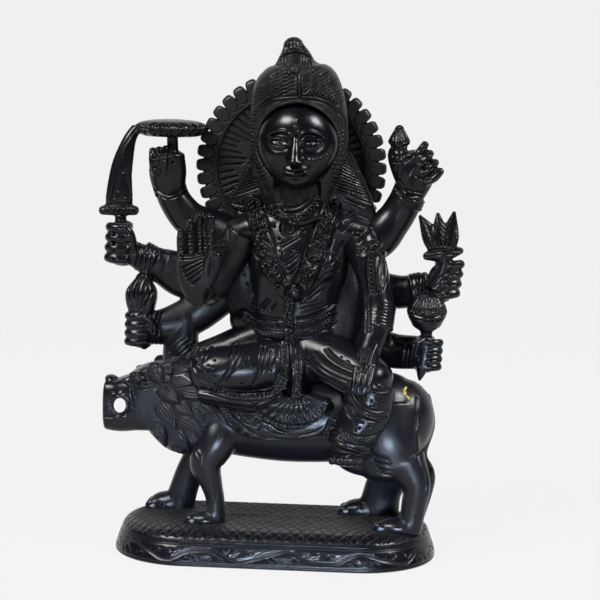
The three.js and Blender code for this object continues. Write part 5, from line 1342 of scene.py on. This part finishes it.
leftLook = {
    "disc": {"x": -41.4, "y": 6.0, "z": 147.9, "radius": 14.4, "notches": 20},
    "upperArm": [[-13, 5, 105, 8, 6], [-26, 7, 109.5, 8, 5.6], [-34.4, 8, 113.4, 6.9, 5.4], [-40.2, 8, 120.6, 6.2, 5],
                 [-42.6, 7.6, 128, 6.2, 4.6]],
    "swordArm": [[-13, 4, 99, 9, 6], [-26, 7, 93, 10.6, 6], [-36, 7, 92.2, 9.4, 5.6], [-43.6, 5, 95, 7.2, 5],
                 [-52, 3.2, 98.6, 5.2, 4.4], [-57.6, 2.2, 101.6, 4.6, 4.2]],
    "blade": [[-60.3, 0, 117, 5, 2.4], [-60.2, 0, 122, 5.2, 2.3], [-59.8, 0.5, 130, 4.4, 2.2],
              [-58.8, 1, 136, 3.8, 2.1], [-56.8, 2.4, 143.4, 2.6, 2], [-54.4, 4.4, 148, 2, 2]],
    "shawl": [[-35, 6, 77, 6, 5], [-36.2, 5, 70, 6.2, 5.2], [-36.4, 4, 64, 7.4, 5.4], [-34, 3, 58, 11, 5.5]],
    "budArm": [[-6, 6, 94, 8, 6], [-20, 7.4, 86.4, 8.2, 5.6], [-31, 7, 77.6, 7.7, 5.2], [-40, 4.5, 73.2, 7.2, 4.8],
               [-49, 3, 72, 5.6, 4.4]],
    "bud": [[-51.2, -0.4, 75, 3, 3], [-51, -0.4, 80, 5.4, 4.6], [-50.8, -0.2, 86, 6, 4.8], [-50.8, 0, 91.5, 2.6, 2.4]],
}


def leftStrokes():
    # Strokes as they are seen from the front, in squares of the sheet
    s = Sheet(95, 108, 245, 375)
    s.between([(170, 352), (178, 343), (186, 338)], [(180, 366), (192, 355), (203, 349)], 5, width=1.1, depth=0.5,
              taper=0.3)
    # disc: an upper and a lower shell that meet in a ridge, with facets between
    s.cuts([[(137, 127), (155, 131), (175, 132.5), (195, 131.5), (212, 129)]], width=1.0, depth=0.4, taper=0)
    for k, u in enumerate((145.7, 156.4, 168.6, 180, 191.4, 201)):
        s.cut([(u, 124.5), (u - 0.6, 135.5)], 1.0, 0.45, 0.2)
    # sword
    s.cuts([[(137.2, 128), (127.5, 140), (119.3, 154), (115, 168), (112, 188), (109, 201)]], width=0.8, depth=0.35,
           taper=0)
    s.cuts([[(122, 171), (119, 184), (114.3, 198)], [(125, 171), (128, 184), (131, 197)], [(121, 174), (118.4, 191)],
            [(125.6, 177), (125, 197)], [(122.6, 158), (123.4, 172)]], width=0.95, depth=0.4, taper=0.2)
    s.cuts([[(103, 205), (120, 203.6), (137, 204.4)], [(103, 213), (120, 214.6), (136, 213.4)]], width=0.9, depth=0.4,
           taper=0)
    s.beads([(105, 209), (135, 209)], 5.2, 1.9, 0.4, 0.7)
    s.cuts([[(115, 219), (128, 219)], [(115, 222.5), (128, 222.5)]], width=0.9, depth=0.45, taper=0)
    s.dots([(113.6, 234.3), (113.6, 242.9), (113.6, 251.4), (112, 258.6)], 1.3, 0.8)
    for v in (228.6, 237, 245.7, 254):
        s.cut([(126, v - 2.6), (131.5, v - 2.9)], 0.8, 0.35, 0)
    s.cuts([[(140.4, 241), (135.6, 266)], [(144.7, 242), (140.3, 267.5)], [(149, 244), (145, 269)],
            [(153.2, 246), (149.8, 270.5)]],
           width=0.9, depth=0.45, taper=0)
    # Painted shade over the left arms behind, which lie in shadow
    s.darken([(240, 232), (215, 248), (190, 262), (165, 268)], 9, 0.9)
    s.darken([(226, 262), (205, 285), (185, 305), (168, 318)], 9, 0.8)
    s.darken([(232, 205), (205, 200), (185, 210)], 8, 0.6)
    # cut folds on the arms behind
    s.cuts([[(168, 247), (166, 262), (160, 278)], [(160, 249), (157, 262)], [(200, 236), (192, 252)]], width=1.1,
           depth=0.3)
    # hand under the disc
    s.between([(152, 142), (150.5, 152)], [(165.5, 142), (165, 153)], 4, width=1.1, depth=0.6, taper=0)
    s.cuts([[(153, 158), (162, 156), (171.5, 155.7)], [(154, 162), (165, 160)], [(151, 170), (160, 166)]], width=1.0,
           depth=0.4)
    s.dots([(172.9, 162.9), (160, 146.5), (154, 147.5)], 1.4, 0.8)
    s.cuts([[(153, 189), (168, 195), (186, 188)], [(152.6, 193), (168, 199), (187, 192)]], width=0.9, depth=0.45,
           taper=0)
    # bud
    s.cuts([[(144.3, 276.4), (138, 283), (135, 291), (135.3, 300), (136.5, 309)],
            [(148.6, 277), (144, 286), (142, 297), (141.8, 309)], [(155.9, 284), (151, 294), (143.5, 306.5)],
            [(130, 285), (129.6, 294), (131.4, 303)], [(155, 280), (156.4, 290), (154, 302)]],
           width=1.05, depth=0.55, taper=0)
    s.dots([(140.7, 313.6), (148.6, 315.7), (133, 316), (146, 323)], 1.2, 0.6)
    s.cuts([[(156.5, 313), (153.4, 333)], [(160.4, 313), (158, 334)]], width=0.9, depth=0.45, taper=0)
    return s


def leftHands(look):
    # Three arms as limbs with fists and hoops; the disc is a profile turned with a notched radius
    disc = look["disc"]
    forms = [limb(look["upperArm"], sides=36),
             limb([[-42, 7.4, 122, 5.6, 4.4], [-42.8, 6.8, 131, 7.2, 4.8], [-42.6, 6.2, 138, 6.4, 4.4]], cap=0.4,
                  ends=(0, 1)),
             limb([[-40.8, 5.8, 134, 2.4, 2.4], [-41, 5.8, 147, 2.1, 2.1]])]
    forms += [limb([[-48.2 + n * 2.6, 3.6 - 0.5 * n, 139.6 + 0.5 * n, 1.35, 1.9], [-48 + n * 2.4, 2.2, 135, 1.35, 1.9],
                    [-47.2 + n * 2.1, 3.2, 131, 1.2, 1.6]], ends=(1, 1)) for n in (0, 1, 2)]
    forms += hoops([-41.4, 7.8, 123.4], [-0.4, 0, 1], 5.6, 5.1)
    turn = np.linspace(0, 2 * np.pi, 400, endpoint=False)
    profile = spline([(0.05, -3.1), (0.5, -3.1), (0.72, -2.9), (0.9, -1.6), (1.0, -0.1), (0.93, 1.4), (0.7, 2.7),
                      (0.3, 3.3), (0.02, 3.4)], 60)[0]
    share, rise = profile.T
    lobe = 1 - 0.09 * step(0.6, 0.95, share)[:, None] * np.abs(np.sin(turn * disc["notches"] / 2)) ** 6
    reach = disc["radius"] * share[:, None] * lobe
    forms.append(skin(np.stack([disc["x"] + reach * np.cos(turn), disc["y"] + 0.72 * reach * np.sin(turn),
                                disc["z"] + rise[:, None] + 0 * reach], 2)))
    # sword
    forms.append(limb(look["swordArm"], sides=36))
    forms += fist([-59.2, 1.4, 104.2], [-1, 0, 0.1], [0.05, 0, 1], 7.8, 4.6)
    forms += [limb([[-59.2, -0.4, 97, 2.2, 2.2], [-59.6, -0.4, 116, 2.2, 2.2]]),
              limb([[-66.6, 0, 116.6, 1.8, 3], [-60.3, 0, 117.4, 2.7, 3.6], [-54, 0, 116.8, 1.8, 3]], ends=(1, 1)),
              limb(look["blade"], sides=36)]
    forms += hoops([-49.6, 3.8, 98], [-1, 0, 0.5], 6, 5.2, 4)
    # bud
    forms += [limb(look["budArm"], sides=36), limb(look["shawl"], sides=36)]
    forms += fist([-51.4, 0.8, 71.8], [-1, 0, 0], [0.02, 0, 1], 6.6, 4.8)
    forms += [limb(look["bud"], ends=(0, 1), lobes=3, sides=36),
              limb([[-51, -0.6, 71, 2, 2], [-50, -0.8, 63.8, 0.9, 0.9]])]
    forms += hoops([-46, 3.8, 71], [-1, 0, 0], 5.8, 5.2)
    return makePiece("leftHands", forms, leftStrokes(), within=(-99, 7))


rightLook = {
    "upperArm": [[24, 4, 106, 8, 6], [36, 6, 107.4, 8.2, 6], [43, 8, 114.4, 6.9, 5.6], [47.2, 7.6, 121.4, 6.4, 5],
                 [49.6, 7, 128, 6, 4.6]],
    "conch": [[49.4, 4.4, 126, 3.4, 3.6], [46.9, 4, 134, 4.2, 4.3], [45, 4, 140, 4.1, 4.1], [45, 4, 143, 2.9, 2.9],
              [45, 4, 145, 4, 4], [45, 4, 150, 1.6, 1.6]],
    "lotusArm": [[24, 5, 99, 8, 6], [36, 7.5, 89.6, 7.4, 5.6], [45, 6.5, 87.8, 6.5, 5], [52, 4.5, 88.8, 6.1, 4.6],
                 [58, 3, 91, 5.6, 4.4]],
    "maceArm": [[22, 6, 79, 7, 6], [35, 7.5, 68.4, 7.3, 5.6], [44, 6, 65.3, 6.8, 5], [54, 1.4, 65.6, 6.4, 4.4]],
    "maceBall": [(0.05, 66), (2.4, 66), (2.2, 74.4), (5.2, 76.4), (7.2, 80.4), (7.7, 82.2), (7, 84.6), (4.4, 88),
                 (0.05, 89.6)],
}


def rightStrokes():
    # Strokes as they are seen from the front, in squares of the sheet
    s = Sheet(370, 115, 475, 395)
    # conch: cap, neck and turns
    s.cuts([[(391, 142.5), (399, 144), (408, 140.5)], [(391.5, 147), (400, 149), (409, 145)],
            [(393, 156), (402, 155), (411, 150)], [(394.5, 163), (403, 162), (412, 157)]], width=1.0, depth=0.5,
            taper=0)
    s.between([(394, 141), (395.5, 130)], [(406, 139), (402.5, 129)], 5, width=0.9, depth=0.45, taper=0)
    s.cuts([[(396, 170), (400, 160), (406, 151)], [(400, 176), (404, 166)]], width=1.0, depth=0.4)
    # fingers over it, wrist
    s.cuts([[(417, 149), (429.5, 147.5)], [(419, 155.5), (434, 153.5)], [(420, 162.5), (438, 160.5)],
            [(421, 169), (441, 168)]],
           width=1.0, depth=0.5, taper=0.2)
    s.cuts([[(411, 146), (414, 156), (413, 168), (408, 178)], [(416, 176), (424, 180), (434, 180)]], width=1.0,
           depth=0.4)
    s.dots([(426, 145.6), (430.6, 151.4), (434.6, 158), (437.8, 165.4)], 1.1, 0.35)
    s.cuts([[(398, 181.5), (408, 190), (422, 193)], [(397, 185), (407, 194), (422, 197)],
            [(395.5, 189), (405, 198), (420, 201)]],
           width=0.9, depth=0.45, taper=0)
    # lotus: outlines and ribs of three petals
    s.cuts([[(419, 217), (421.5, 230), (430, 247)], [(433, 217), (436, 232), (437.5, 246)],
            [(438, 213), (440, 230), (441, 246)], [(449, 214), (447.6, 230), (445, 246)],
            [(455, 212), (452.6, 230), (448.5, 246)], [(463, 218), (461, 233), (454.5, 247)]],
           width=1.05, depth=0.55, taper=0)
    s.between([(423.5, 219), (429, 228)], [(430, 238), (434.6, 243)], 5, width=0.8, depth=0.35)
    s.between([(440.5, 220), (446, 226)], [(441.5, 236), (446, 241)], 4, width=0.8, depth=0.35)
    s.between([(461.5, 219), (456, 227)], [(457.5, 236), (452, 243)], 5, width=0.8, depth=0.35)
    s.cuts([[(424, 252), (443, 249), (463, 251)], [(426, 256.5), (443, 254), (462, 256)]], width=1.0, depth=0.45,
           taper=0)
    # fist
    s.cuts([[(433, 283), (444, 275), (457, 265)], [(434, 287), (446, 279), (457, 270)]], width=1.0, depth=0.4)
    for v in (264.5, 274.5, 284.5):
        s.cut([(452, v), (464, v)], 1.0, 0.55, 0)
    s.dots([(460, 259.5), (460, 269.5), (460, 279.5), (459.5, 290)], 1.2, 0.4)
    for u in (419.5, 423.5, 427.5):
        s.cut([(u, 271), (u - 0.6, 293)], 0.9, 0.45, 0)
    # mace: cut petals round the ball, ribs and neck
    s.cuts([[(408.6, 312.5), (418, 316.6), (428, 317.6), (438, 316.6), (446.6, 312.5)],
            [(409.5, 317), (418, 320.6), (428, 321.6), (438, 320.6), (446, 317)]],
           width=1.0, depth=0.5, taper=0)
    for k in range(7):
        u = 411.5 + 5.5 * k
        s.cuts([[(u, 311), (428 + (u - 428) * 0.55, 299)], [(u + 2.6, 312.5), (428 + (u - 425.4) * 0.7, 302.5)]],
               width=0.95, depth=0.45, taper=0.2)
    s.cuts([[(419.5, 329), (434, 329)], [(419.5, 333), (434, 333)], [(419.8, 337), (433.6, 337)]], width=0.9,
           depth=0.45, taper=0)
    for v in (345, 352.5, 360.5):
        s.cut([(428, v), (441, v)], 1.0, 0.55, 0)
    s.cuts([[(421, 343), (418.5, 354), (420, 366)], [(414, 344), (411.5, 366)], [(410, 344), (407.5, 365)],
            [(406, 344), (403.6, 365)]],
           width=0.9, depth=0.45, taper=0)
    s.cuts([[(390, 338), (388, 350)], [(396, 336), (395, 349)]], width=1.0, depth=0.3)
    return s


def rightHands(look):
    # Three arms as limbs with fists and hoops; petals are limbs that end in a point
    forms = [limb(look["upperArm"], sides=36),
             limb([[50.2, 7, 125, 5, 4.4], [52, 6.4, 133, 6.8, 4.4], [52, 5.8, 140, 5.4, 4]], ends=(0, 1), cap=0.5)]
    forms += [limb([[50.2 + 1.7 * n, 3.8, 137.4 - 2.5 * n, 1.5, 2.1], [52.6 + 2 * n, 3.2, 141 - 3.1 * n, 1.6, 2.2],
                    [54.8 + 2 * n, 4, 144.2 - 3.3 * n, 1.5, 1.8]], ends=(1, 1)) for n in (0, 1, 2, 3)]
    forms.append(limb(look["conch"], ends=(0, 1), lobes=4, sides=36, flute=0.06))
    forms += hoops([48.4, 7.6, 122.6], [0.35, 0, 1], 6.4, 5.4)
    # lotus
    forms.append(limb(look["lotusArm"], sides=36))
    forms += fist([63.2, 1.2, 93.8], [1, 0, 0.12], [0.12, 0, 1], 7.4, 5.2)
    forms += [limb([[60, -3.4, 90, 2.1, 2.1], [63.6, -2.4, 102, 2.4, 2.4]]),
              limb([[56.4, -0.6, 102.6, 1.6, 2.6], [62.6, -0.6, 103.4, 2.8, 4.6], [69, -0.6, 105, 1.4, 2.4]],
                   ends=(1, 1), cap=0.9)]
    for n, tipX, tipZ in ((-0.9, 53.4, 118), (0, 60.2, 119.2), (0.9, 66.4, 119.8)):
        forms.append(limb([[61.8 + 1.6 * n, -0.8, 103, 2.2, 2.2], [61.4 + 3.8 * n, -1.2 + abs(n), 110, 3.6, 2.4],
                           [tipX, -0.4, tipZ, 0.6, 0.6]]))
    forms += hoops([53, 4.2, 89.4], [1, 0, 0.2], 6.2, 5.2)
    # mace
    forms.append(limb(look["maceArm"], sides=36))
    forms += fist([57.2, -0.2, 65.6], [1, 0, 0], [0.05, 0, 1], 6.2, 4.8)
    forms += [turned(57.2, -3.2, look["maceBall"], sides=96),
              limb([[57.1, -3.4, 68, 2.3, 2.2], [55.8, -3.6, 60, 2, 2], [55, -3.6, 55.6, 0.5, 0.5]])]
    return makePiece("rightHands", forms, rightStrokes(), within=(-99, 7))


makePlinth(plinthLook)
lionBody(lionLook)
lionHead(headLook)
seatedLegs(legLook)
saddleCloth()
bodice(torsoLook)
raisedArm(torsoLook)
restingArm(torsoLook)
crown(crownLook)
face(faceLook)
halo(haloLook)
leftHands(leftLook)
rightHands(rightLook)

studio = {
    "paper": 0.02, "glow": 0.86,  # tone of the paper and the light that it gives off
    "world": 0.01, "lens": 36 * eyeReach / 600,
    "key": {"place": (-0.46, -0.55, 0.78), "size": (0.38, 0.30), "power": 14.5, "tint": (1, 0.99, 0.97)},
    "side": {"place": (0.65, -0.30, 0.75), "size": (0.24, 0.28), "power": 11.0, "tint": (0.95, 0.98, 1)},
    "low": {"place": (0.05, -0.62, 0.04), "size": (0.30, 0.06), "power": 0.17, "tint": (0.62, 0.76, 1), "aim": 0.015,
            "spread": 20},
}


def sweep():
    # A floor that turns up in a quarter circle into a backdrop
    t = np.linspace(0, np.pi / 2, 24)
    profile = np.vstack([[[-8.0, 0.0]], np.stack([1.2 + 0.8 * np.sin(t), 0.8 - 0.8 * np.cos(t)], 1), [[2.0, 4.0]]])
    points = np.concatenate([np.column_stack([np.full(len(profile), side), profile]) for side in (-4.0, 4.0)])
    j = np.arange(len(profile) - 1)
    mesh = bpy.data.meshes.new("floor")
    mesh.from_pydata(points.tolist(), [], np.stack([j, j + len(profile), j + len(profile) + 1, j + 1], 1).tolist())
    mesh.polygons.foreach_set("use_smooth", np.ones(len(mesh.polygons), bool))
    floor = bpy.data.objects.new("floor", mesh)
    bpy.context.collection.objects.link(floor)
    s = Shader("palePaper")
    s.put(Base_Color=(*(studio["paper"],) * 3, 1), Roughness=0.9, Emission_Color=(1, 1, 1, 1),
          Emission_Strength=studio["glow"])
    s.surface.inputs["Specular IOR Level"].default_value = 0.0
    mesh.materials.append(s.material)


def softLight(name, look):
    # A rectangle of light that looks at the figure
    data = bpy.data.lights.new(name, "AREA")
    data.shape, data.energy = "RECTANGLE", look["power"]
    data.size, data.size_y = look["size"]
    data.color = look["tint"]
    light = bpy.data.objects.new(name, data)
    light.location = look["place"]
    light.visible_camera = False
    data.spread = np.radians(look.get("spread", 180))
    light.rotation_euler = (light.location - Vector((0, 0, look.get("aim", 0.1)))).to_track_quat("Z", "Y").to_euler()
    bpy.context.collection.objects.link(light)


sweep()
for name in ("key", "side", "low"):
    softLight(name + "Light", studio[name])
world = bpy.data.worlds.new("studio")
bpy.context.scene.world = world
world.use_nodes = True
world.node_tree.nodes["Background"].inputs["Color"].default_value = (1, 1, 1, 1)
world.node_tree.nodes["Background"].inputs["Strength"].default_value = studio["world"]
bpy.context.scene.view_settings.view_transform = "Standard"

# The camera stands at the drawing's eye
data = bpy.data.cameras.new("camera")
data.lens, data.clip_start, data.clip_end = studio["lens"], 0.01, 20
camera = bpy.data.objects.new("camera", data)
camera.matrix_world = (Matrix.Translation(eye * mm)
                       @ Matrix(np.stack([eyeRight, eyeUp, -eyeForward], 1).tolist()).to_4x4())
bpy.context.collection.objects.link(camera)
bpy.context.scene.camera = camera
print("studio ready")
